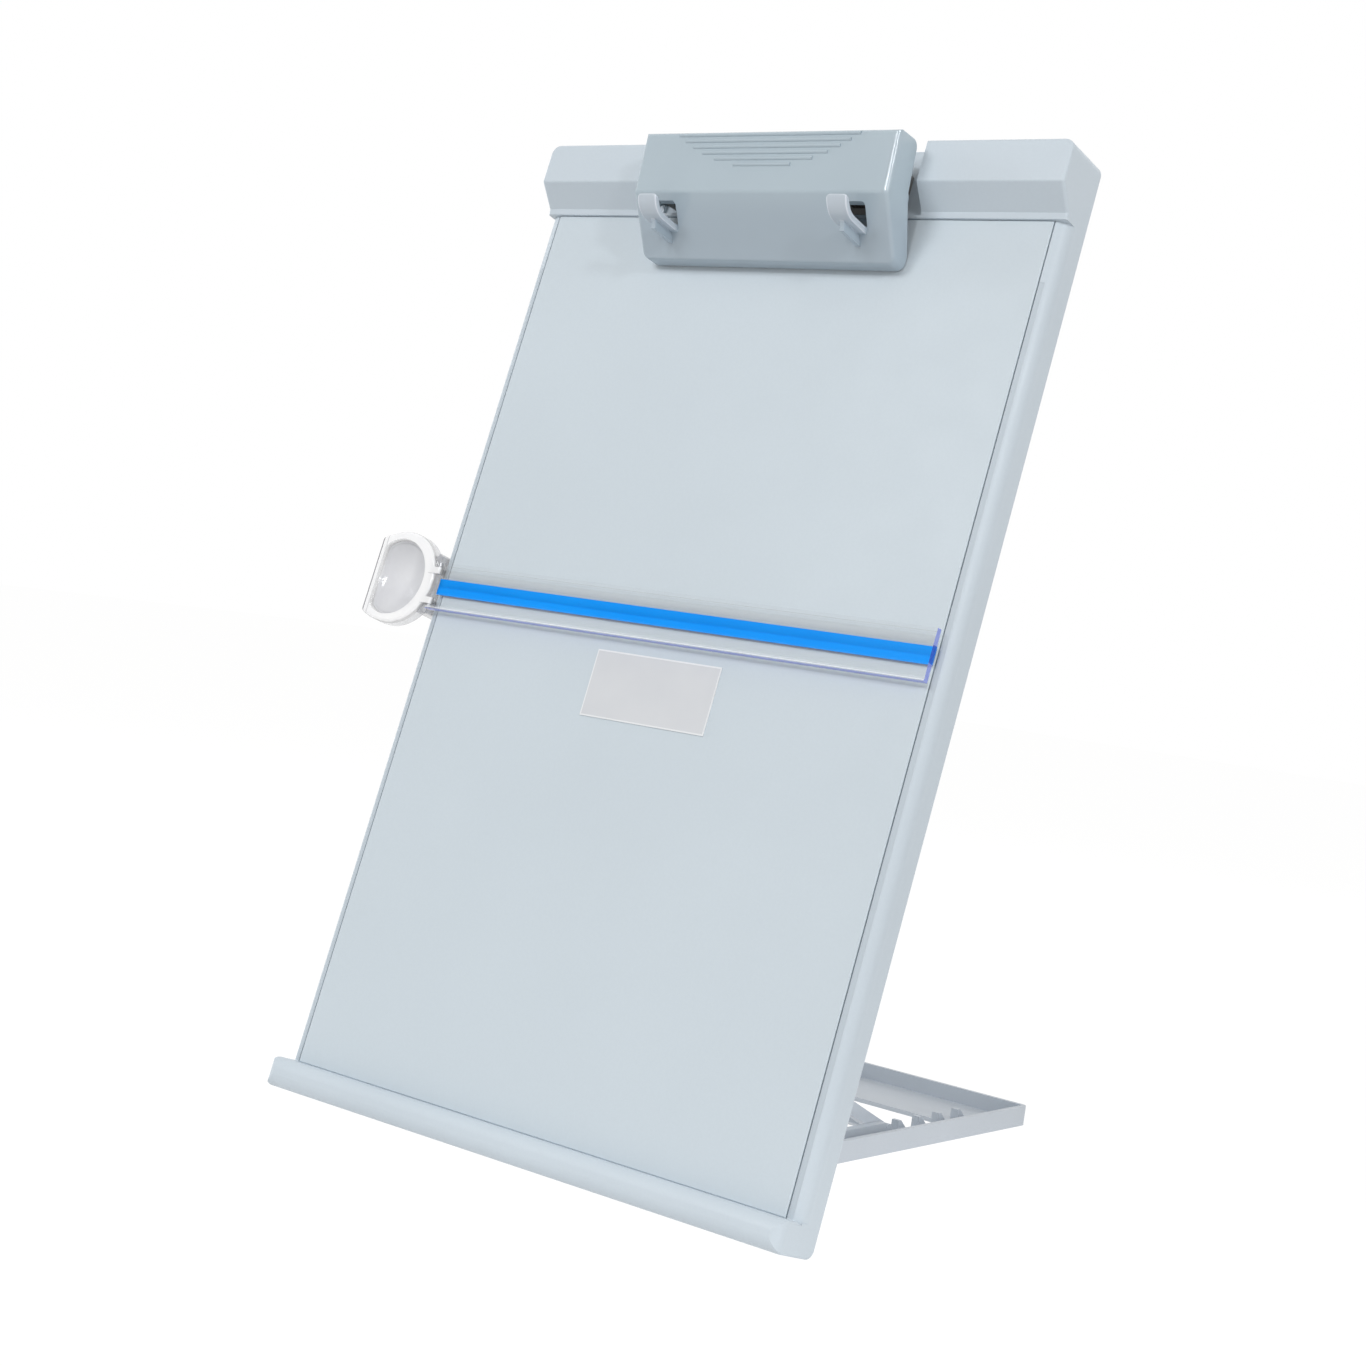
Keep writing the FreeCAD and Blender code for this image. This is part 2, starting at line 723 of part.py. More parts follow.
def make_cover_screws():
    sunk = cover_back + 0.1
    long = cell("screw_long") - 1
    screws = [screw(f"cover_screw_{i}", x, y, sunk, long, -1)
              for i, (x, y) in enumerate(screw_places(), start=1)]
    lay_on_board(group("cover_screws", screws))


# ------------------------------------------------------------------ clip

clip_half = cell("clip_wide") / 2
clip_top_v = lip + cell("clip_top")
clip_bend_v = lip - cell("clip_bend")
clip_low_v = lip - cell("clip_low")


def upper_face(v):
    """Height of the clip's upper face at a place up the slope."""
    slope = (cell("clip_rise") - cell("clip_bend_rise")) / (clip_top_v - clip_bend_v)
    return cell("clip_bend_rise") + (v - clip_bend_v) * slope


def lower_face(v):
    """Height of the clip's lower face at a place up the slope."""
    slope = (cell("clip_bend_rise") - cell("clip_low_rise")) / (clip_bend_v - clip_low_v)
    return cell("clip_low_rise") + (v - clip_low_v) * slope


def add_hooks(piece):
    """Two hooks on the clip's lower face, each with a rib under it and a window above it."""
    hook_low = lip - cell("hook_below_lip")
    hook_top = hook_low + cell("hook_thick")
    tip = hook_low + cell("hook_tip")
    outer = cell("hook_round")
    inner = outer - cell("hook_thick")
    centre_w = cell("hook_reach") - outer
    tip_in = outer - cell("hook_tip")
    root_w = lower_face(hook_low) - 1
    window_top = hook_top + cell("window_high")
    corner = cell("window_corner")
    rib_low = hook_low - cell("gusset_high")
    rib_out = cell("gusset_out")
    rib_turn = cell("gusset_high") + 0.8
    half_hook = cell("hook_wide") / 2
    for side in (-1, 1):
        middle = cell("hook_apart") / 2 * side
        half = half_hook + cell("window_play")
        cut(piece, "XY", [
            (middle - half, hook_top), (middle + half, hook_top),
            (middle + half, window_top - corner), (middle + half - corner, window_top, corner),
            (middle - half + corner, window_top), (middle - half, window_top - corner, corner)],
            18, at=26)
        add(piece, "YZ", [
            (hook_low, root_w), (hook_top, root_w), (hook_top, centre_w),
            (tip, centre_w + root(inner * inner - tip_in * tip_in), -inner),
            (tip, centre_w + root(outer * outer - tip_in * tip_in)), (hook_low, centre_w, outer)],
            cell("hook_wide"), at=middle, both=True)

        def beside(middle_point):
            return near(abs(middle_point.x - middle.value), half_hook)

        def tip_corner(middle_point, edge):
            return beside(middle_point) and near(middle_point.y, tip)

        def hook_edge(middle_point, edge):
            outside = middle_point.z > lower_face(size(middle_point.y)).value + 0.5
            within = middle_point.y < tip.value - 0.02
            return beside(middle_point) and outside and within

        blend_edges(piece, "Fillet", cell("hook_corner"), tip_corner)
        blend_edges(piece, "Fillet", cell("hook_edge"), hook_edge)
        add(piece, "YZ", [
            (hook_low + 0.5, root_w), (rib_low, lower_face(rib_low) - 1), (rib_low, rib_out),
            (hook_low + 0.8, rib_out + 3.2, rib_turn)],
            cell("gusset_wide"), at=middle, both=True)


def make_clip_cover():
    piece = body("clip_cover")
    wall = cell("clip_wall")
    gap = cell("jaw_gap")
    add(piece, "YZ", [
        (clip_low_v + 0.3, gap), (clip_low_v + 5.6, gap), (clip_pin_v + 0.5, clip_pin_w + 0.8),
        (clip_top_v + 1.2, cell("clip_back")), (clip_top_v, cell("clip_rise")),
        (clip_bend_v, cell("clip_bend_rise")), (clip_low_v, cell("clip_low_rise"))],
        cell("clip_wide"), both=True)

    def across(edge):
        return edge.Curve.TypeId == "Part::GeomLine" and abs(edge.Curve.Direction.x) > 0.9

    def shell_edge(middle, edge):
        if across(edge):
            at_top = near(middle.y, clip_top_v) and near(middle.z, cell("clip_rise"))
            at_low = near(middle.y, clip_low_v) and near(middle.z, cell("clip_low_rise"))
            return at_top or at_low
        place = size(middle.y)
        on_face = near(middle.z, upper_face(place)) or near(middle.z, lower_face(place))
        return near(abs(middle.x), clip_half) and on_face

    def bend_edge(middle, edge):
        return across(edge) and near(middle.y, clip_bend_v) and near(middle.z, cell("clip_bend_rise"))

    def rear_edge(middle, edge):
        return across(edge) and near(middle.z, cell("clip_back")) and middle.y > clip_top_v.value

    def low_corner(middle, edge):
        return near(abs(middle.x), clip_half) and near(middle.y, clip_low_v + 0.15)

    blend_edges(piece, "Fillet", cell("clip_rear_round"), rear_edge)
    blend_edges(piece, "Fillet", cell("clip_corner"), low_corner)
    blend_edges(piece, "Fillet", cell("clip_edge") * 1.6, bend_edge)
    blend_edges(piece, "Fillet", cell("clip_edge"), shell_edge)

    inside = cell("clip_wide") - wall * 2
    cut(piece, "YZ", [
        (clip_low_v + wall + 0.2, -3), (clip_low_v + wall + 0.2, cell("clip_low_rise") - 0.7),
        (clip_bend_v + 0.9, cell("clip_bend_rise") - wall),
        (clip_top_v - wall, cell("clip_rise") - wall), (clip_top_v - wall, -3)],
        inside, both=True)

    boss_wide = cell("ear_thick")
    boss_at = clip_half - wall - boss_wide / 2 + 0.1
    for side in (-1, 1):
        add(piece, "YZ", [["circle", clip_pin_v, clip_pin_w, cell("ear_round")]],
            boss_wide, at=boss_at * side, both=True)
    cut(piece, "YZ", [["circle", clip_pin_v, clip_pin_w, turning]],
        cell("clip_wide") - wall * 2 + 0.6, both=True)

    add_hooks(piece)

    bump = cell("rib_bump")
    bowl = cell("rib_bowl")
    first = clip_top_v - cell("rib_from_top")
    longest = cell("rib_longest") / 2
    centre = first + root(bowl * bowl - longest * longest)
    for i in range(many("rib_count")):
        v = first - cell("rib_pitch") * i
        w = upper_face(v)
        reach_out = root(bowl * bowl - (centre - v) * (centre - v))
        add(piece, "YZ", [(v + bump, w - 0.15), (v, w + bump * 0.75, bump * 1.1),
                          (v - bump, w - 0.15, bump * 1.1)], reach_out * 2, both=True)
    lay_on_board(piece)


def make_clip_base():
    piece = body("clip_base")
    outer = clip_half - cell("ear_from_side")
    low = lip + 0.9
    add(piece, "XY", rectangle(-outer, low, outer, low + cell("base_high")), cell("base_thick"))
    ear = cell("ear_round")
    ear_at = outer - cell("ear_thick") / 2
    for side in (-1, 1):
        add(piece, "YZ", [
            (low, 0.4), (low + 9, 0.4), (clip_pin_v + ear, clip_pin_w),
            (clip_pin_v - ear, clip_pin_w, ear)], cell("ear_thick"), at=ear_at * side, both=True)
    cut(piece, "YZ", [["circle", clip_pin_v, clip_pin_w, pin]], outer * 2 + 1, both=True)
    holes = [["circle", x, y, cell("screw_shank") + 0.2] for x, y in base_screw_places()]
    cut(piece, "XY", holes, cell("base_thick") + 1, at=cell("base_thick") + 0.5)
    lay_on_board(piece)


def make_clip_base_screws():
    top = cell("base_thick") + cell("screw_head_high")
    long = cell("base_thick") - web_back - 0.2
    screws = [screw(f"base_screw_{i}", x, y, top, long, 1)
              for i, (x, y) in enumerate(base_screw_places(), start=1)]
    lay_on_board(group("clip_base_screws", screws))


def make_pin(label, radius, long, v, w):
    """A pin across the board, centred on its middle plane."""
    made = rod(label, radius, long, -long / 2, v, w, FreeCAD.Rotation(V(0, 1, 0), 90))
    made.Label = label
    return made


def pin_on_board(label, long, v, w):
    """A pin as a node of its own, leaned with the board."""
    lay_on_board(group(label, [make_pin(label + "_rod", pin, long, v, w)]))


def make_spring(label, side):
    """A torsion spring: coils round the clip's pin, one leg on the seat, one in the clip."""
    wire = cell("wire_round").value
    coil = cell("coil_round").value
    pitch = cell("coil_pitch").value
    long = pitch * (many("coil_turns") + 0.5)
    leg = cell("spring_leg").value
    outer_end = (clip_half - cell("ear_from_side") - cell("ear_thick") - cell("spring_gap")).value
    at_pin = V(outer_end - long, clip_pin_v.value, clip_pin_w.value)

    def lying(start, drop):
        """A straight leg that leaves the coil up the slope, falling by the given amount."""
        slope = math.asin(drop / leg)
        along = V(0, math.cos(slope), -math.sin(slope))
        down = V(0, -math.sin(slope), -math.cos(slope))
        return start + down * coil, along, slope

    seat_drop = (clip_pin_w - cell("base_thick")).value - wire - coil
    seat_at, seat_way, seat_slope = lying(at_pin, seat_drop)
    turned = FreeCAD.Rotation(V(1, 0, 0), math.degrees(-seat_slope) - 90)
    helix = Part.makeHelix(pitch, long, coil, 0, True)
    ring = Part.Wire(Part.makeCircle(wire, V(coil, 0, 0), V(0, 1, 0)))
    coils = Part.Wire(helix.Edges).makePipeShell([ring], True, True)
    coils.Placement = FreeCAD.Placement(at_pin, turned.multiply(
        FreeCAD.Rotation(V(0, 1, 0), V(0, 0, 1), V(1, 0, 0), "ZXY")))
    clip_inside = (upper_face(clip_pin_v + leg - 2) - cell("clip_wall")).value - wire
    clip_end = V(at_pin.x + long, at_pin.y + leg - 2, clip_inside)
    clip_start = at_pin * 2 - seat_at + V(long, 0, 0)
    legs = [Part.makeCylinder(wire, leg, seat_at, seat_way),
            Part.makeCylinder(wire, (clip_end - clip_start).Length, clip_start, clip_end - clip_start)]
    made = coils.fuse(legs + [Part.makeSphere(wire, place) for place in (seat_at, clip_start)])
    if side < 0:
        made = made.mirror(V(0, 0, 0), V(1, 0, 0))
    piece = doc.addObject("Part::Feature", label)
    piece.Label = label
    piece.Shape = made
    NODES.append(piece)
    lay_on_board(piece)


# ------------------------------------------------------------------ slider and guide

grip_v = cell("grip_at")
grip_right = -half_wide + cell("grip_overlap")
grip_round = cell("grip_high") / 2
grip_centre = grip_right - grip_round
grip_left = grip_right - cell("grip_wide")
grip_under = cell("grip_face") - cell("grip_thick")
edge_out = -half_wide - cell("side_play")
edge_in = edge_out - cell("edge_wall")
over_board = cell("front_play")
jaw_top = back - cell("back_play")
jaw_half = cell("jaw_long") / 2
hinge_u = -half_wide + cell("hinge_in")
lug_far = cell("guide_wide") / 2 - cell("tab_long") - cell("lug_play")
lug_near = lug_far - cell("lug_long")
guide_v = grip_v - cell("guide_drop")
guide_floor = cell("hinge_rise") - cell("guide_thick") / 2
jaw_block_in = edge_in - 0.1
jaw_block_out = jaw_block_in - cell("jaw_block")


def knob_outline(inset_flat, inset_round, centre):
    """The knob's outline: a flat outer side, two shallow arcs and a half round."""
    high = grip_round - inset_round
    flat = high - (grip_round - cell("grip_flat") / 2)
    left = grip_left + inset_flat
    run = centre - left
    rise = high - flat
    shallow = (run * run + rise * rise) / (rise * 2)
    return [(left, grip_v - flat), (centre, grip_v - high, shallow),
            (centre, grip_v + high, high), (left, grip_v + flat, shallow)]


def make_slider_grip():
    piece = body("slider_grip")
    face = cell("grip_face")
    floor = face - cell("bowl_deep")
    bowl_left = grip_left + cell("bowl_flat_rim")

    def upright_at(x):
        def wanted(middle, edge):
            straight = edge.Curve.TypeId == "Part::GeomLine"
            return straight and near(middle.x, x) and abs(edge.Curve.Direction.z) > 0.9
        return wanted

    add(piece, "XY", knob_outline(size(0), size(0), grip_centre), cell("grip_thick"), at=grip_under)
    blend_edges(piece, "Fillet", cell("grip_corner"), upright_at(grip_left))
    blend_edges(piece, "Fillet", cell("grip_edge"), lambda middle, edge: near(middle.z, face))
    cut(piece, "XY", knob_outline(cell("bowl_flat_rim"), cell("bowl_rim"), grip_centre - cell("bowl_shift")),
        cell("bowl_deep"), at=face)
    blend_edges(piece, "Fillet", cell("bowl_corner"), upright_at(bowl_left))
    blend_edges(piece, "Fillet", cell("bowl_round"), lambda middle, edge: near(middle.z, floor))
    add(piece, "XY", rectangle(edge_in, grip_v - jaw_half, edge_out, grip_v + jaw_half),
        over_board - jaw_top, at=jaw_top)
    cut(piece, "XY", rectangle(edge_out, grip_v - grip_round - 1, hinge_u + 3,
                               grip_v + grip_round + 1),
        over_board - grip_under + 1, at=over_board)
    turn = cell("lug_round")
    rise = cell("hinge_rise")
    for low in (guide_v - lug_far, guide_v + lug_near):
        add(piece, "XZ", [
            (edge_in, over_board), (edge_out, over_board), (hinge_u, rise - turn),
            (hinge_u, rise + turn, turn), (edge_in, rise + turn)], cell("lug_long"), at=-low, flip=True)
        cut(piece, "XZ", [["circle", hinge_u, rise, cell("guide_pin")]],
            cell("lug_long") + 0.2, at=-(low - 0.1))
    holes = [["circle", x, y, cell("screw_shank")] for x, y in slider_screw_places()]
    cut(piece, "XY", holes, 2.4, at=grip_under, flip=True)
    lay_on_board(piece)


def slider_screw_places():
    x = (jaw_block_in + jaw_block_out) / 2
    return [(x, grip_v + cell("jaw_screw_apart") / 2 * side) for side in (-1, 1)]


def make_slider_jaw():
    piece = body("slider_jaw")
    low = grip_v - jaw_half
    high = grip_v + jaw_half
    bottom = jaw_top - cell("jaw_thick")
    add(piece, "XY", rectangle(jaw_block_out, low, jaw_block_in, high), grip_under - bottom, at=bottom)
    add(piece, "XY", rectangle(jaw_block_in - 0.5, low, -half_wide + cell("jaw_reach"), high),
        cell("jaw_thick") - 0.1, at=bottom)
    holes = [["circle", x, y, cell("screw_shank") + 0.1] for x, y in slider_screw_places()]
    cut(piece, "XY", holes, grip_under - bottom + 1, at=grip_under + 0.5)
    sunk = [["circle", x, y, cell("screw_head") * 0.75] for x, y in slider_screw_places()]
    cut(piece, "XY", sunk, cell("screw_head_high"), at=bottom, flip=True)
    lay_on_board(piece)


def make_slider_pad():
    piece = body("slider_pad")
    low = -half_wide + 1
    high = -half_wide + cell("jaw_reach") - 0.6
    seat = jaw_top - 0.1
    add(piece, "XY", rectangle(low, grip_v - jaw_half + 1.5, high, grip_v + jaw_half - 1.5),
        cell("felt_thick"), at=seat)
    lay_on_board(piece)


def make_slider_screws():
    rods = []
    seat = jaw_top - cell("jaw_thick") + 0.1
    turn = FreeCAD.Rotation()
    for i, (x, y) in enumerate(slider_screw_places(), start=1):
        head = rod(f"jaw_screw_head_{i}", cell("screw_head") * 0.7, 0.9, x, y, seat, turn)
        shank = rod(f"jaw_screw_shank_{i}", cell("screw_shank") - 0.02, grip_under + 2.2 - seat,
                    x, y, seat, turn)
        whole = doc.addObject("Part::MultiFuse", f"jaw_screw_{i}")
        whole.Shapes = [head, shank]
        rods.append(whole)
    lay_on_board(group("slider_screws", rods))


guide_low = guide_v - cell("guide_wide") / 2
guide_high = guide_v + cell("guide_wide") / 2
guide_end = half_wide - cell("guide_end")


def make_guide_strip():
    piece = body("guide_strip")
    floor = guide_floor
    top = floor + cell("guide_thick")
    bead = cell("bead_wide")
    start = hinge_u + cell("guide_start")
    crown = cell("guide_wide") - bead
    bow = cell("guide_crown")
    bow_round = (crown * crown / 4 + bow * bow) / (bow * 2)
    add(piece, "YZ", [
        (guide_low, floor), (guide_high, floor), (guide_high, top),
        (guide_low + bead, top, bow_round), (guide_low, top, bead / 2)],
        guide_end - start, at=(start + guide_end) / 2, both=True)
    play = cell("lug_play")
    slot_end = hinge_u + cell("slot_deep")
    for low in (guide_v - lug_far - play, guide_v + lug_near - play):
        cut(piece, "XY", rectangle(hinge_u - 1, low, slot_end, low + cell("lug_long") + play * 2),
            cell("guide_thick") + 2, at=top + 1)
    turn = cell("lug_round")
    rise = cell("hinge_rise")
    tab = cell("tab_long")
    bore = cell("guide_pin") + cell("turning_gap")
    for low in (guide_low, guide_high - tab):
        add(piece, "XZ", [
            (slot_end, floor), (slot_end, top), (hinge_u, rise + turn),
            (hinge_u, rise - turn, turn)], tab, at=-low, flip=True)
        cut(piece, "XZ", [["circle", hinge_u, rise, bore]], tab + 0.2, at=-(low - 0.1))
    lay_on_board(piece)


def make_guide_stripe():
    piece = body("guide_stripe")
    low = guide_low + cell("stripe_up")
    start = hinge_u + cell("stripe_start")
    add(piece, "XY", rectangle(start, low, guide_end, low + cell("stripe_wide")),
        cell("stripe_thick"), at=guide_floor - cell("stripe_thick"))
    lay_on_board(piece)


def make_guide_pins():
    """Two pins, each through a tab of the guide and a lug of the slider."""
    along = FreeCAD.Rotation(V(1, 0, 0), -90)
    long = cell("tab_long") + cell("lug_long") + cell("lug_play")
    rods = [rod(f"guide_pin_{i}", cell("guide_pin") - 0.01, long, hinge_u, low, cell("hinge_rise"), along)
            for i, low in enumerate((guide_low, guide_v + lug_near))]
    lay_on_board(group("guide_pins", rods))


# ------------------------------------------------------------------ foot and prop

def rail_outline():
    """Side view of a toothed rail: a plain run, an open notch, then saw teeth."""
    high = cell("rail_high")
    first = cell("tooth_first")
    pitch = cell("tooth_pitch")
    slope = cell("tooth_slope")
    tooth_root = cell("tooth_root")
    count = many("tooth_count")
    corners = [(first, 0)]
    for i in range(count):
        face = first + pitch * i
        corners.append((face, high))
        corners.append((face + 2.0, high))
        if i < count - 1:
            corners.append((face + slope, tooth_root))
            corners.append((face + pitch, tooth_root))
    corners.append((rail_end, tooth_root))
    corners.append((rail_end, 0))
    return corners


def make_foot_frame():
    piece = body("foot_frame")
    half = cell("foot_wide") / 2
    long = cell("foot_long")
    high = cell("foot_high")
    wall = cell("foot_wall")
    turn = high / 2
    floor = cell("foot_floor")
    add(piece, "YZ", [(0, 0), (long, 0), (long, high), (0, high)], cell("foot_wide"), both=True)
    add(piece, "YZ", [["circle", 0, turn, turn]], cell("foot_wide"), both=True)
    inside = half - wall
    cut(piece, "XY", rectangle(-inside, -turn - 1, inside, long - wall), high - floor + 1, at=high + 1)
    rail_in = cell("prop_wide") / 2 + cell("rail_gap")
    rail_out = rail_in + cell("rail_thick")
    opening = rail_out - 0.6
    cut(piece, "XY", rectangle(-opening, cell("front_floor"), opening,
                               long - wall - cell("rear_floor")), floor + 1, at=floor + 0.5)
    rail_at = (rail_in + rail_out) / 2
    notch_front = cell("tooth_first") - cell("rail_clear")
    for side in (-1, 1):
        add(piece, "YZ", rectangle(cell("front_floor") - 2, 0, notch_front, cell("rail_high")),
            cell("rail_thick"), at=rail_at * side, both=True)
        add(piece, "YZ", rail_outline(), cell("rail_thick"), at=rail_at * side, both=True)
    add(piece, "XY", rectangle(-inside - 0.5, cell("front_floor") - 2, inside + 0.5,
                               cell("front_floor")), cell("rail_high"))
    knuckle = cell("knuckle_long")
    for side in (-1, 1):
        add(piece, "YZ", [["circle", 0, turn, turn]], knuckle,
            at=(half - knuckle / 2) * side, both=True)
    cut(piece, "YZ", [["circle", 0, turn, turning]], cell("foot_wide") + 2, both=True)

    def rear_corner(middle, edge):
        upright = edge.Curve.TypeId == "Part::GeomLine" and abs(edge.Curve.Direction.z) > 0.9
        return upright and near(abs(middle.x), half) and near(middle.y, long)

    blend_edges(piece, "Fillet", cell("foot_corner"), rear_corner)
    bind(piece, "Placement.Base.y", hinge_y)


def make_foot_pins():
    across = FreeCAD.Rotation(V(0, 1, 0), 90)
    knuckle = cell("knuckle_long")
    inner = cell("foot_wide") / 2 - knuckle + 0.5
    long = bay_half + cell("stub_grip") - inner
    rods = []
    for side in (-1, 1):
        start = inner if side > 0 else -(inner + long)
        rods.append(rod("foot_pin", pin, long, start, hinge_y, hinge_z, across))
    group("foot_pins", rods)


def make_prop_frame():
    piece = body("prop_frame")
    wide = cell("prop_round")
    tip = cell("prop_tip")
    arm = cell("prop_arm")
    half = cell("prop_wide") / 2
    add(piece, "YZ", [(0, -wide, wide), (prop_long, -tip), (prop_long, tip, tip), (0, wide)],
        cell("prop_wide"), both=True)
    inside = half - arm
    tall = wide + 1
    bar_low = wide + 10
    bar_high = bar_low + cell("tip_bar")
    cut(piece, "XY", rectangle(-inside, -wide - 1, inside, bar_low), tall * 2, at=tall)
    cut(piece, "XY", rectangle(-inside, bar_high, inside, prop_long - cell("tip_bar")),
        tall * 2, at=tall)
    add(piece, "YZ", [["circle", prop_long, 0, tip]], (half + cell("lug_reach")) * 2, both=True)
    cut(piece, "YZ", [["circle", 0, 0, turning]], cell("prop_wide") + 1, both=True)
    turn = FreeCAD.Rotation(V(1, 0, 0), prop_angle.value)
    piece.Placement = FreeCAD.Placement(V(0, prop_y.value, prop_z.value), turn)
    bind(piece, "Placement.Base.y", prop_y)
    bind(piece, "Placement.Base.z", prop_z)
    bind(piece, "Placement.Rotation.Angle", prop_angle)


# ------------------------------------------------------------------ assembly

def build():
    make_frame_body()
    make_front_panel()
    make_label_plate()
    make_rear_cover()
    make_cover_screws()
    make_clip_cover()
    make_clip_base()
    make_clip_base_screws()
    pin_on_board("clip_pin", cell("clip_wide") - cell("clip_wall") * 2 + 0.2, clip_pin_v, clip_pin_w)
    make_spring("clip_spring_left", -1)
    make_spring("clip_spring_right", 1)
    make_slider_grip()
    make_slider_jaw()
    make_slider_pad()
    make_slider_screws()
    make_guide_strip()
    make_guide_stripe()
    make_guide_pins()
    make_foot_frame()
    make_foot_pins()
    make_prop_frame()
    pin_on_board("prop_pin", cell("prop_wide") + 0.6, prop_v, prop_w)


def check():
    """Every object is built, every formula gives its value, every piece is sound."""
    doc.recompute()
    for thing in doc.Objects:
        if {"Invalid", "Error"} & set(thing.State):
            raise RuntimeError(f"{thing.Name} failed: {thing.State}")
    for thing, name, expected in BOUND:
        found = thing.Constraints[name].Value if isinstance(name, int) else getattr(thing, name)
        found = float(getattr(found, "Value", found))
        if abs(found - expected) > 1e-6 * max(1.0, abs(expected)):
            raise RuntimeError(f"{thing.Name} {name}: {found} is not {expected}")
    for piece in NODES:
        shape = piece.Shape
        if shape.isNull() or not shape.isValid() or not shape.Solids:
            raise RuntimeError(f"{piece.Label} is not a sound solid")


def export():
    os.makedirs("parts", exist_ok=True)
    for piece in NODES:
        shape = piece.Shape
        shape.exportStep(f"parts/{piece.Label}.step")
        box = shape.BoundBox
        print(f"{piece.Label:18s} solids {len(shape.Solids):2d}  volume {shape.Volume:10.1f}"
              f"  box {box.XMin:.1f} {box.YMin:.1f} {box.ZMin:.1f}"
              f"  {box.XMax:.1f} {box.YMax:.1f} {box.ZMax:.1f}")


build()
check()
export()
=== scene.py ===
"""Looks for the copy holder: moulded grey plastic, a clear slider and guide, soft studio light."""

import math

import bpy
from mathutils import Euler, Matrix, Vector


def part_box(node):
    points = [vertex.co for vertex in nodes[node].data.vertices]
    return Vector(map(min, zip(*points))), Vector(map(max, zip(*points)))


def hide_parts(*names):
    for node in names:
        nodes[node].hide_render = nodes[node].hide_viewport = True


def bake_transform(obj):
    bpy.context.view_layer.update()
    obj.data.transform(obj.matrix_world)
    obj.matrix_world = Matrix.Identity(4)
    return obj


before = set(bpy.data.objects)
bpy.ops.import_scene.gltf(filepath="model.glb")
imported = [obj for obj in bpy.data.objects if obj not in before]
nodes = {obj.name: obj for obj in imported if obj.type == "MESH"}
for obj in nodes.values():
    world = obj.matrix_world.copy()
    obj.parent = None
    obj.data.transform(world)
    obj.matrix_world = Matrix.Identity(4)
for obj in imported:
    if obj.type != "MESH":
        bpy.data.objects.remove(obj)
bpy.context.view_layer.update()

MM = 0.001
LEAN = math.radians(76.3)              # board to desk
UP_BOARD = Vector((0.0, math.cos(LEAN), math.sin(LEAN)))
OUT_OF_BOARD = Vector((0.0, -math.sin(LEAN), math.cos(LEAN)))
RIGHT = Vector((1.0, 0.0, 0.0))
LEDGE_LINE = Vector((0.0, -19.571, 12.834)) * MM   # where the panel's face meets the ledge

# ------------------------------------------------------------------ camera

CAMERA_AT = Vector((480.81, -624.59, 193.37)) * MM
CAMERA_TURN = Euler([math.radians(angle) for angle in (88.488, -8.000, 36.220)], "XYZ")
CAMERA_NEAR = 0.01
SENSOR = 36.0
LENS = 59.96


def make_camera():
    data = bpy.data.cameras.new("camera")
    data.sensor_fit = "HORIZONTAL"
    data.sensor_width = SENSOR
    data.lens = LENS
    data.clip_start = CAMERA_NEAR
    camera = bpy.data.objects.new("camera", data)
    camera.location = CAMERA_AT
    camera.rotation_euler = CAMERA_TURN
    bpy.context.scene.collection.objects.link(camera)
    bpy.context.scene.camera = camera


# ------------------------------------------------------------------ material helpers

def srgb(r, g, b):
    """A colour written in 0-255 screen values, as the linear colour that a socket takes."""
    def linear(value):
        value /= 255.0
        return value / 12.92 if value <= 0.04045 else ((value + 0.055) / 1.055) ** 2.4
    return (linear(r), linear(g), linear(b), 1.0)


def shifted(colour, amount):
    """A screen colour made lighter or darker by the same amount in each channel."""
    return srgb(*[min(255, channel + amount) for channel in colour])


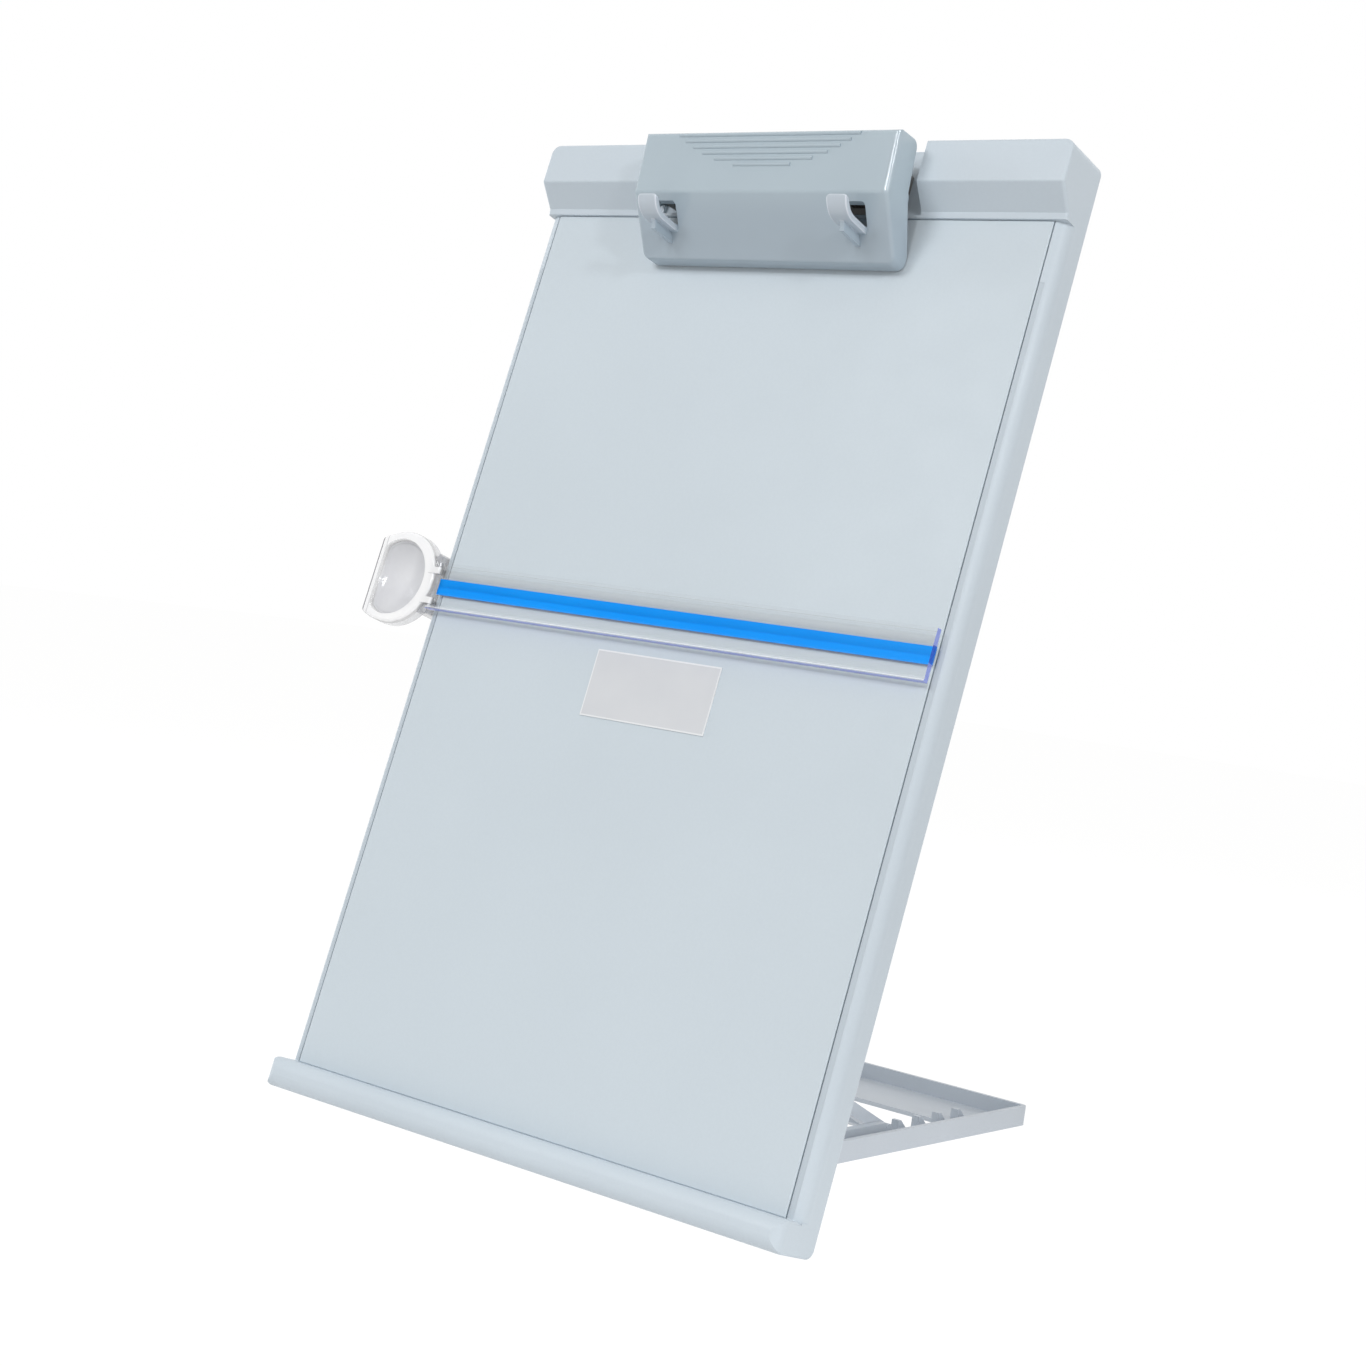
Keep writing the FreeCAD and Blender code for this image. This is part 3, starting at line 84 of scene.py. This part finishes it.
class Nodes:
    """A material's node tree, with short calls for the nodes used here."""

    def __init__(self, name):
        self.material = bpy.data.materials.new(name)
        self.material.use_nodes = True
        self.tree = self.material.node_tree
        self.shader = self.tree.nodes["Principled BSDF"]
        coordinates = self.tree.nodes.new("ShaderNodeTexCoord")
        self.place = coordinates.outputs["Object"]
        self.normal = coordinates.outputs["Normal"]

    # ---- building blocks

    def new(self, kind, **values):
        node = self.tree.nodes.new(kind)
        for key, value in values.items():
            setattr(node, key, value)
        return node

    def link(self, source, target):
        self.tree.links.new(source, target)

    def feed(self, value, socket):
        """Give a socket another socket's result, or a plain value."""
        if isinstance(value, bpy.types.NodeSocket):
            self.link(value, socket)
        else:
            socket.default_value = value

    def set(self, **values):
        """Set the shader's sockets, each named with _ for a space."""
        for key, value in values.items():
            self.feed(value, self.shader.inputs[key.replace("_", " ")])

    # ---- numbers

    def math(self, operation, first, second=0.0):
        node = self.new("ShaderNodeMath", operation=operation)
        self.feed(first, node.inputs[0])
        self.feed(second, node.inputs[1])
        return node.outputs[0]

    def times(self, first, *others):
        for other in others:
            first = self.math("MULTIPLY", first, other)
        return first

    def invert(self, value):
        return self.math("SUBTRACT", 1.0, value)

    def blend_number(self, amount, first, second):
        """Two plain numbers mixed by amount."""
        node = self.new("ShaderNodeMix", data_type="FLOAT")
        self.feed(amount, node.inputs[0])
        node.inputs[2].default_value = first
        node.inputs[3].default_value = second
        return node.outputs[0]

    def step(self, value, low, high):
        """0 below low, 1 above high, smooth between them. It falls where low is above high."""
        node = self.new("ShaderNodeMapRange", interpolation_type="SMOOTHSTEP")
        node.inputs["From Min"].default_value = low
        node.inputs["From Max"].default_value = high
        self.link(value, node.inputs["Value"])
        return node.outputs["Result"]

    def band(self, value, low, high, soft):
        """1 between low and high, with soft edges."""
        rise = self.step(value, low - soft, low + soft)
        fall = self.step(value, high - soft, high + soft)
        return self.math("SUBTRACT", rise, fall)

    # ---- places and directions

    def dot(self, vector, direction):
        node = self.new("ShaderNodeVectorMath", operation="DOT_PRODUCT")
        node.inputs[1].default_value = direction
        self.link(vector, node.inputs[0])
        return node.outputs["Value"]

    def reach(self, direction, start=LEDGE_LINE):
        """How far a point lies from start along a direction, in millimetres."""
        metres = self.math("SUBTRACT", self.dot(self.place, direction), start.dot(direction))
        return self.math("DIVIDE", metres, MM)

    def from_middle(self):
        """How far a point lies to either side of the board's middle, in millimetres."""
        return self.math("ABSOLUTE", self.reach(RIGHT))

    def outside(self):
        """1 on surfaces seen from outside, 0 on those that are seen through the piece."""
        return self.invert(self.new("ShaderNodeNewGeometry").outputs["Backfacing"])

    def faces(self, direction, low=0.88, high=0.92):
        """1 on outer surfaces that face a direction, 0 on all others."""
        toward = self.step(self.dot(self.normal, direction), low, high)
        return self.times(toward, self.outside())

    # ---- patterns

    def noise(self, size, detail=2.0, roughness=0.5):
        """Noise whose blotches are about size metres across."""
        node = self.new("ShaderNodeTexNoise")
        node.inputs["Scale"].default_value = 1.0 / size
        node.inputs["Detail"].default_value = detail
        node.inputs["Roughness"].default_value = roughness
        self.link(self.place, node.inputs["Vector"])
        return node.outputs["Fac"]

    def ramp(self, noise, low, high):
        """Noise spread from low to high."""
        node = self.new("ShaderNodeMapRange")
        node.inputs["From Min"].default_value = 0.3
        node.inputs["From Max"].default_value = 0.7
        node.inputs["To Min"].default_value = low
        node.inputs["To Max"].default_value = high
        self.link(noise, node.inputs["Value"])
        return node.outputs["Result"]

    def blend(self, amount, first, second):
        """Two colours mixed by amount, each a colour or a socket."""
        node = self.new("ShaderNodeMix", data_type="RGBA")
        self.feed(amount, node.inputs[0])
        self.feed(first, node.inputs[6])
        self.feed(second, node.inputs[7])
        return node.outputs[2]

    def drift(self, size, first, second, detail=2.0):
        """A colour that drifts slowly between two."""
        return self.blend(self.ramp(self.noise(size, detail), 0.0, 1.0), first, second)

    def sheen(self, size, detail, low, high):
        """Uneven roughness."""
        self.set(Roughness=self.ramp(self.noise(size, detail), low, high))

    def bump(self, height, depth, strength=1.0, after=None):
        """A bump of the given depth in metres."""
        node = self.new("ShaderNodeBump")
        node.inputs["Distance"].default_value = depth
        node.inputs["Strength"].default_value = strength
        self.link(height, node.inputs["Height"])
        if after is not None:
            self.link(after, node.inputs["Normal"])
        return node.outputs["Normal"]


# ------------------------------------------------------------------ moulded plastic

BODY_GREY = (201, 211, 219)
PANEL_GREY = (203, 213, 220)
FOOT_GREY = (202, 209, 217)
GRAIN = 0.45 * MM                      # spark texture
GRAIN_DEPTH = 0.02 * MM
SPECK_SIZE = 2.2                       # of a speck, in grains
SPECK_DARKER = 14
SPECK_SHARE = 0.10
# Painted shade: how much darker a recessed strip is painted.
RECESS_SHADE = 15
WAVE_DEPTH = 0.06 * MM                 # unevenness of a moulded face
GLOSS = 0.45


def moulded(name, colour, rough=0.42, drift=5):
    return mould(Nodes(name), colour, rough, drift).material


def mould(n, colour, rough=0.42, drift=5, shaded_recess=None, walls=None):
    """Moulded plastic: fine spark texture, slow colour drift and uneven sheen.

    Where the recess mask lies deeper, the colour is painted darker as shade, and walls is the bump
    round it.
    """
    base = n.drift(0.09, shifted(colour, -drift * 0.5), shifted(colour, drift * 0.5))
    speck = n.ramp(n.noise(GRAIN * SPECK_SIZE, 1.0), 0.0, SPECK_SHARE)
    base = n.blend(speck, base, shifted(colour, -SPECK_DARKER))
    if shaded_recess is not None:
        base = n.blend(shaded_recess, base, shifted(colour, -RECESS_SHADE))
    n.set(Base_Color=base, Specular_IOR_Level=GLOSS)
    n.sheen(0.012, 3.0, rough - 0.05, rough + 0.06)
    grain = n.bump(n.noise(GRAIN, 2.0, 0.6), GRAIN_DEPTH, 0.5, after=walls)
    n.set(Normal=n.bump(n.noise(0.03, 1.0), WAVE_DEPTH, 0.25, after=grain))
    return n


# The recessed strip beside the panel, in millimetres from the board's middle and up from the ledge.
STRIP = (109.2, 111.9)
STRIP_UP = (0.5, 320.0)
STRIP_DEPTH = 0.15 * MM


def make_body_plastic():
    """The frame's plastic, with a shallow recessed strip on each side of the panel, painted darker as
    shade.
    """
    n = Nodes("frame_grey")
    across = n.band(n.from_middle(), STRIP[0], STRIP[1], 0.12)
    along = n.band(n.reach(UP_BOARD), STRIP_UP[0], STRIP_UP[1], 0.3)
    # The strip is painted darker, as shade in the recess, and bumped for its walls.
    strip = n.times(across, along, n.faces(OUT_OF_BOARD))
    walls = n.bump(n.invert(strip), STRIP_DEPTH)
    return mould(n, BODY_GREY, shaded_recess=strip, walls=walls).material


# ------------------------------------------------------------------ clip

# A point on the clip's lower face and the way that face looks.
CLIP_FACE = Vector((0.0, 44.6, 338.3)) * MM
CLIP_LOOKS = Vector((0.0, -0.899, -0.438))

# In millimetres: to the side of the board's middle, from the hook's middle, and up from CLIP_FACE.
HOOK_MIDDLE = 41.3
HOOK_HALF = 4.3
HOOK_HIGHLIGHT = 0.75
HOOK_LOW = -1.6
JAW_SHADE = (2.0, 12.0)

# How far a surface turns to the side before it counts as a hook's side face.
SIDEWAYS = (0.5, 0.9)


def make_clip_plastic():
    """Polished blue-grey plastic: jaw painted darker as shade, hooks painted paler as lit, edges as
    highlights.
    """
    n = Nodes("clip_gloss")
    base = n.drift(0.05, srgb(176, 190, 199), srgb(180, 194, 202))
    level = n.reach(UP_BOARD, CLIP_FACE)
    # Painted shade: the clip darkens toward the jaw, where its lower face turns down.
    base = n.blend(n.step(level, JAW_SHADE[1], JAW_SHADE[0]), base, srgb(170, 183, 193))

    # Painted light: hooks paler where they face up, and a painted highlight along their edges.
    proud = n.step(n.reach(CLIP_LOOKS, CLIP_FACE), 0.3, 2.0)
    hook = n.times(proud, n.step(level, HOOK_LOW - 0.5, HOOK_LOW))
    from_hook = n.math("ABSOLUTE", n.math("SUBTRACT", n.from_middle(), HOOK_MIDDLE))
    border = n.step(from_hook, HOOK_HALF - HOOK_HIGHLIGHT, HOOK_HALF - HOOK_HIGHLIGHT + 0.3)
    sideways = n.step(n.math("ABSOLUTE", n.dot(n.normal, RIGHT)), SIDEWAYS[0], SIDEWAYS[1])
    edge = n.times(border, hook, n.invert(sideways))
    base = n.blend(hook, base, srgb(194, 203, 212))
    n.set(Base_Color=n.blend(edge, base, srgb(223, 228, 237)), Specular_IOR_Level=0.5)
    n.sheen(0.006, 4.0, 0.09, 0.14)
    n.set(Normal=n.bump(n.noise(0.02, 1.0), 0.02 * MM, 0.15))
    return n.material


# What shows through the clip's windows, painted in shade, in millimetres to each side of the middle.
WINDOW = (22.0, 50.0)


def make_base_plastic():
    """Plastic under the clip: frame grey, and painted dark as shade behind the clip's windows."""
    n = Nodes("clip_base_grey")
    # Painted shade: what shows through the windows is painted dark.
    behind = n.band(n.from_middle(), WINDOW[0], WINDOW[1], 0.8)
    dark = n.drift(0.02, srgb(134, 130, 126), srgb(142, 138, 134))
    pale = n.drift(0.02, srgb(176, 186, 194), srgb(182, 192, 200))
    n.set(Base_Color=n.blend(behind, pale, dark))
    n.sheen(0.012, 3.0, 0.45, 0.56)
    n.set(Normal=n.bump(n.noise(GRAIN, 2.0), GRAIN_DEPTH, 0.5))
    return n.material


# ------------------------------------------------------------------ label

# The paler rim, in millimetres, and how far the label's box reaches past its upper and lower edges.
LABEL_RIM = 0.55
LABEL_RIM_SOFT = 0.2
LABEL_BOX_SLACK = 0.2


def make_label():
    """A blank label in a slightly warmer grey, with soft mottling and a paler cut edge."""
    n = Nodes("blank_label")
    low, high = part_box("label_plate")

    def rim(direction, edge, width):
        """1 beside an edge, which lies on the side that the direction points to."""
        return n.step(n.reach(direction, edge), -width, LABEL_RIM_SOFT - width)

    tall = LABEL_RIM + LABEL_BOX_SLACK
    side = high[0] / MM - LABEL_RIM
    sides = n.step(n.from_middle(), side, side + LABEL_RIM_SOFT)
    lower = rim(-UP_BOARD, Vector((0.0, low[1], low[2])), tall)
    upper = rim(UP_BOARD, Vector((0.0, high[1], high[2])), tall)
    edges = n.math("MAXIMUM", sides, n.math("MAXIMUM", lower, upper))
    face = n.drift(0.02, srgb(208, 210, 214), srgb(213, 215, 218), detail=3.0)
    n.set(Base_Color=n.blend(edges, face, srgb(232, 234, 236)))
    n.sheen(0.003, 2.0, 0.34, 0.44)
    n.set(Normal=n.bump(n.noise(0.0004, 2.0), 0.01 * MM, 0.4))
    return n.material


# ------------------------------------------------------------------ guide and film

# The guide's cross section. GUIDE_LOW is its lower edge above the ledge line, and the rest is
# measured up from there, in millimetres.
GUIDE_LOW = 176.7
BEAD_EDGE = 0.45
BEAD_TOP = 0.9
GLOW_TOP = 1.5
STRIPE = (6.4, 12.7)
SHADE_TOP = 15.6
UPPER_LINE = (17.0, 17.3)

# How much of the clear plastic shows, from 0 to 1.
CLEAR = 0.05
SHADE_SHOWS = 0.16
BEAD_SHOWS = 0.7
GLOW_SHOWS = 0.2
LINE_SHOWS = 0.2
EDGE_SHOWS = 0.8
FILM_HIDES = 0.9
INSIDE_SHOWS = 0.3


def make_guide_plastic():
    """Clear guide: painted shade above the film, white bead highlight, violet edges painted as piped
    light.
    """
    n = Nodes("guide_clear")
    height = n.math("SUBTRACT", n.reach(UP_BOARD), GUIDE_LOW)
    # Painted light: bead and glow are painted highlights, and shade is painted shade above the film.
    bead = n.band(height, BEAD_EDGE, BEAD_TOP, 0.12)
    glow = n.band(height, BEAD_TOP, GLOW_TOP, 0.4)
    film = n.band(height, STRIPE[0], STRIPE[1], 0.15)
    shade = n.band(height, STRIPE[1], SHADE_TOP, 0.5)
    line = n.band(height, UPPER_LINE[0], UPPER_LINE[1], 0.2)
    end = n.faces(RIGHT)
    low_edge = n.times(n.step(height, BEAD_EDGE, 0.0), n.outside())
    # Painted light: edge is a violet glow where the lower edge and right end pipe the film's light.
    edge = n.math("MAXIMUM", low_edge, end)

    shade_and_highlight = n.blend(n.math("MAXIMUM", bead, glow), srgb(176, 176, 174), srgb(244, 247, 252))
    violet = n.blend(n.times(film, end), srgb(132, 146, 230), srgb(36, 66, 190))
    n.set(Base_Color=n.blend(edge, shade_and_highlight, violet), Specular_IOR_Level=0.3)

    alpha = n.math("ADD", n.times(shade, SHADE_SHOWS), CLEAR)
    for mask, share in ((bead, BEAD_SHOWS), (glow, GLOW_SHOWS), (line, LINE_SHOWS)):
        alpha = n.math("ADD", alpha, n.times(mask, share))
    alpha = n.times(alpha, n.invert(n.times(film, FILM_HIDES)))
    alpha = n.math("MAXIMUM", alpha, n.times(edge, EDGE_SHOWS))
    alpha = n.times(alpha, n.blend_number(n.outside(), INSIDE_SHOWS, 1.0))
    n.set(Alpha=n.math("MINIMUM", alpha, 1.0))
    n.sheen(0.004, 3.0, 0.05, 0.12)
    n.set(Normal=n.bump(n.noise(0.01, 1.0), 0.05 * MM, 0.3))
    return n.material


def make_film():
    """Bright blue film under the guide."""
    n = Nodes("blue_film")
    base = n.drift(0.03, srgb(4, 150, 253), srgb(10, 154, 255))
    n.set(Base_Color=base, Specular_IOR_Level=0.1)
    n.sheen(0.002, 2.0, 0.3, 0.42)
    return n.material


# ------------------------------------------------------------------ knob

# The knob in millimetres: across, up and out of the board, and its painted shade lines from its flat
# side.
BOWL_ACROSS = -134.0
BOWL_UP = 187.6
BOWL_FLOOR = 0.8
BOWL_REACH = 14.0
BOWL_DISH = 4.6
KNOB_RIM = 3.2
KNOB_FLAT = -145.45
INNER_LINE = (2.9, 3.4)
OUTER_LINE = (0.6, 1.3)


def make_knob_plastic():
    """Thick milky clear plastic: white rims, and painted shade in the dished bowl and along its flat
    side.
    """
    n = Nodes("knob_clear")
    across = n.reach(RIGHT)
    bowl = n.step(n.reach(OUT_OF_BOARD), KNOB_RIM - 0.5, BOWL_FLOOR + 0.2)
    top = n.faces(OUT_OF_BOARD, 0.2, 0.9)
    # Painted shade: the dished bowl is greyer than the rims.
    bowl_shade = n.drift(0.012, srgb(216, 217, 222), srgb(224, 225, 229))
    rim = n.drift(0.012, srgb(250, 250, 252), srgb(255, 255, 255))
    body = n.blend(bowl, rim, bowl_shade)
    # Painted shade: a grey line and a dark line along the flat side.
    from_flat = n.math("SUBTRACT", across, KNOB_FLAT)
    inner_line = n.band(from_flat, INNER_LINE[0], INNER_LINE[1], 0.15)
    body = n.blend(n.times(inner_line, 0.5), body, srgb(168, 168, 174))
    outer_line = n.times(n.band(from_flat, OUTER_LINE[0], OUTER_LINE[1], 0.15), top)
    n.set(Base_Color=n.blend(outer_line, body, srgb(118, 117, 124)), Specular_IOR_Level=0.6)

    right = n.math("SUBTRACT", across, BOWL_ACROSS)
    rise = n.math("SUBTRACT", n.reach(UP_BOARD), BOWL_UP)
    square = n.math("ADD", n.times(right, right), n.times(rise, rise))
    dish = n.math("DIVIDE", square, BOWL_REACH * BOWL_REACH)
    dished = n.bump(n.times(dish, bowl), BOWL_DISH * MM)
    n.set(Normal=n.bump(n.noise(0.012, 1.0), 0.06 * MM, 0.3, after=dished))
    n.sheen(0.004, 3.0, 0.05, 0.12)
    solid = n.blend_number(bowl, 0.85, 0.93)
    n.set(Alpha=n.times(solid, n.blend_number(top, 0.35, 1.0)))
    return n.material


# ------------------------------------------------------------------ metal and felt

LINES_PER_METRE = (60.0, 1200.0, 1200.0)   # along and across drawn wire


def make_steel(name, colour, rough):
    """Drawn steel with fine lines along its length."""
    n = Nodes(name)
    stretch = n.new("ShaderNodeMapping")
    stretch.inputs["Scale"].default_value = LINES_PER_METRE
    n.link(n.place, stretch.inputs["Vector"])
    lines = n.new("ShaderNodeTexNoise")
    lines.inputs["Scale"].default_value = 1.0
    n.link(stretch.outputs["Vector"], lines.inputs["Vector"])
    base = n.blend(n.noise(0.002, 3.0), shifted(colour, -12), srgb(*colour))
    n.set(Base_Color=base, Metallic=1.0)
    n.set(Roughness=n.ramp(lines.outputs["Fac"], rough - 0.06, rough + 0.1))
    return n.material


def make_felt():
    """Dark felt: matted fibres with a little fuzz."""
    n = Nodes("felt")
    fibres = n.noise(0.0004, 6.0, 0.7)
    n.set(Base_Color=n.blend(fibres, srgb(38, 38, 41), srgb(78, 78, 82)), Sheen_Weight=0.4)
    n.set(Roughness=n.ramp(fibres, 0.85, 0.98))
    n.set(Normal=n.bump(fibres, 0.2 * MM, 0.8))
    return n.material


# ------------------------------------------------------------------ finishes

def dress():
    """Give every CAD node its finish. Pins and screws, which aren't named here, are steel."""
    body = moulded("body_grey", BODY_GREY)
    panel = moulded("panel_grey", PANEL_GREY, rough=0.48, drift=3)
    foot = moulded("foot_grey", FOOT_GREY, rough=0.46)
    knob = make_knob_plastic()
    steel = make_steel("steel", (176, 177, 180), 0.32)
    spring = make_steel("spring_steel", (104, 92, 80), 0.38)
    finish = {
        "frame_body": make_body_plastic(),
        "rear_cover": body,
        "front_panel": panel,
        "label_plate": make_label(),
        "clip_cover": make_clip_plastic(),
        "clip_base": make_base_plastic(),
        "clip_spring_left": spring,
        "clip_spring_right": spring,
        "slider_grip": knob,
        "slider_jaw": knob,
        "slider_pad": make_felt(),
        "guide_strip": make_guide_plastic(),
        "guide_stripe": make_film(),
        "foot_frame": foot,
        "prop_frame": foot,
    }
    for name, node in nodes.items():
        node.data.materials.clear()
        node.data.materials.append(finish.get(name, steel))


# ------------------------------------------------------------------ springs


def twist_springs():
    """Copies of the springs' meshes, fixed in place of the CAD springs, which are hidden."""
    for side, name in ((-1, "clip_spring_left"), (1, "clip_spring_right")):
        wire = bpy.data.objects.new(name + "_wire", nodes[name].data.copy())
        bpy.context.scene.collection.objects.link(wire)
        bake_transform(wire)
        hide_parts(name)


# ------------------------------------------------------------------ studio

WORLD_TINT = (1.03, 0.985, 0.93, 1.0)
WORLD_STRENGTH = 0.40
LAMP_TINT = (0.965, 0.99, 1.015)
LAMPS_AIM = Vector((0.0, 0.02, 0.18))

FLOOR_HALF = 6.0
FLOOR_DROP = 0.02 * MM                 # below the desk plane, clear of the feet
FLOOR_MATT = (0.50, 0.50, 0.50, 1.0)
FLOOR_WHITE = 1.1                      # strength at which the camera sees white
FLOOR_SHADOW = 0.12                    # share of the object's shadow that is kept
GLOW_REACH = 0.28
GLOW_STRENGTH = 0.38
GLOW_FADE = (0.6, 1.4)                 # shares of its reach


def see_white(tree):
    """1 for camera, mirror and see-through rays, which are shown the white backdrop."""
    rays = tree.nodes.new("ShaderNodeLightPath")
    first = tree.nodes.new("ShaderNodeMath")
    first.operation = "MAXIMUM"
    tree.links.new(rays.outputs["Is Camera Ray"], first.inputs[0])
    tree.links.new(rays.outputs["Is Glossy Ray"], first.inputs[1])
    second = tree.nodes.new("ShaderNodeMath")
    second.operation = "MAXIMUM"
    tree.links.new(first.outputs[0], second.inputs[0])
    tree.links.new(rays.outputs["Is Transmission Ray"], second.inputs[1])
    return second.outputs[0]


def make_world():
    """Plain light all round, and a white backdrop."""
    world = bpy.data.worlds.new("studio")
    world.use_nodes = True
    tree = world.node_tree
    tree.nodes.clear()
    light = tree.nodes.new("ShaderNodeBackground")
    light.inputs["Color"].default_value = WORLD_TINT
    light.inputs["Strength"].default_value = WORLD_STRENGTH
    white = tree.nodes.new("ShaderNodeBackground")
    white.inputs["Color"].default_value = (1.0, 1.0, 1.0, 1.0)
    mix = tree.nodes.new("ShaderNodeMixShader")
    tree.links.new(see_white(tree), mix.inputs[0])
    tree.links.new(light.outputs[0], mix.inputs[1])
    tree.links.new(white.outputs[0], mix.inputs[2])
    output = tree.nodes.new("ShaderNodeOutputWorld")
    tree.links.new(mix.outputs[0], output.inputs["Surface"])
    bpy.context.scene.world = world


def glow_near(tree):
    """Light that the floor gives off close to the object."""
    place = tree.nodes.new("ShaderNodeTexCoord")
    away = tree.nodes.new("ShaderNodeVectorMath")
    away.operation = "LENGTH"
    tree.links.new(place.outputs["Object"], away.inputs[0])
    fade = tree.nodes.new("ShaderNodeMapRange")
    fade.interpolation_type = "SMOOTHSTEP"
    fade.inputs["From Min"].default_value = GLOW_REACH * GLOW_FADE[0]
    fade.inputs["From Max"].default_value = GLOW_REACH * GLOW_FADE[1]
    fade.inputs["To Min"].default_value = GLOW_STRENGTH
    fade.inputs["To Max"].default_value = 0.0
    tree.links.new(away.outputs["Value"], fade.inputs["Value"])
    light = tree.nodes.new("ShaderNodeEmission")
    tree.links.new(fade.outputs["Result"], light.inputs["Strength"])
    return light.outputs[0]


def make_floor_material():
    """White to the camera, with a share of the object's shadow, and matt grey to the light."""
    material = bpy.data.materials.new("floor_white")
    material.use_nodes = True
    tree = material.node_tree
    tree.nodes.clear()
    matt = tree.nodes.new("ShaderNodeBsdfDiffuse")
    matt.inputs["Color"].default_value = FLOOR_MATT
    lit = tree.nodes.new("ShaderNodeAddShader")
    tree.links.new(matt.outputs[0], lit.inputs[0])
    tree.links.new(glow_near(tree), lit.inputs[1])
    white = tree.nodes.new("ShaderNodeEmission")
    white.inputs["Strength"].default_value = FLOOR_WHITE
    share = tree.nodes.new("ShaderNodeMath")
    share.operation = "MULTIPLY"
    share.inputs[1].default_value = 1.0 - FLOOR_SHADOW
    tree.links.new(see_white(tree), share.inputs[0])
    mix = tree.nodes.new("ShaderNodeMixShader")
    tree.links.new(share.outputs[0], mix.inputs[0])
    tree.links.new(lit.outputs[0], mix.inputs[1])
    tree.links.new(white.outputs[0], mix.inputs[2])
    output = tree.nodes.new("ShaderNodeOutputMaterial")
    tree.links.new(mix.outputs[0], output.inputs["Surface"])
    return material


def make_floor():
    half = FLOOR_HALF
    mesh = bpy.data.meshes.new("floor")
    corners = [(-half, -half, 0), (half, -half, 0), (half, half, 0), (-half, half, 0)]
    mesh.from_pydata(corners, [], [(0, 1, 2, 3)])
    mesh.materials.append(make_floor_material())
    floor = bpy.data.objects.new("floor", mesh)
    floor.location.z = -FLOOR_DROP
    bpy.context.scene.collection.objects.link(floor)


def make_lamp(name, at, size, watts, glints=True):
    """A square lamp aimed at the object's middle. Without glints, glossy surfaces don't show it."""
    data = bpy.data.lights.new(name, "AREA")
    data.shape = "SQUARE"
    data.color = LAMP_TINT
    data.size = size
    data.energy = watts
    lamp = bpy.data.objects.new(name, data)
    lamp.visible_glossy = glints
    lamp.location = at
    lamp.rotation_euler = (LAMPS_AIM - Vector(at)).to_track_quat("-Z", "Y").to_euler()
    bpy.context.scene.collection.objects.link(lamp)


def make_studio():
    make_world()
    make_floor()
    make_lamp("key", (-0.38, -1.18, 0.98), 0.4, 5.9)
    make_lamp("front", (0.1, -1.39, 1.02), 0.12, 3.4)
    make_lamp("right_front", (1.22, -0.76, 0.94), 0.15, 4.0)
    make_lamp("right", (1.4, 0.0, 0.3), 0.5, 4.8, glints=False)
    make_lamp("left", (-1.4, -0.1, 0.6), 0.5, 6.2, glints=False)
    make_lamp("top", (0.1, 0.1, 1.7), 0.8, 2.0, glints=False)
    make_lamp("back", (0.2, 1.5, 0.9), 0.8, 4.6, glints=False)


# ------------------------------------------------------------------ all of it

make_camera()
dress()
twist_springs()
make_studio()
bpy.context.scene.view_settings.view_transform = "Standard"
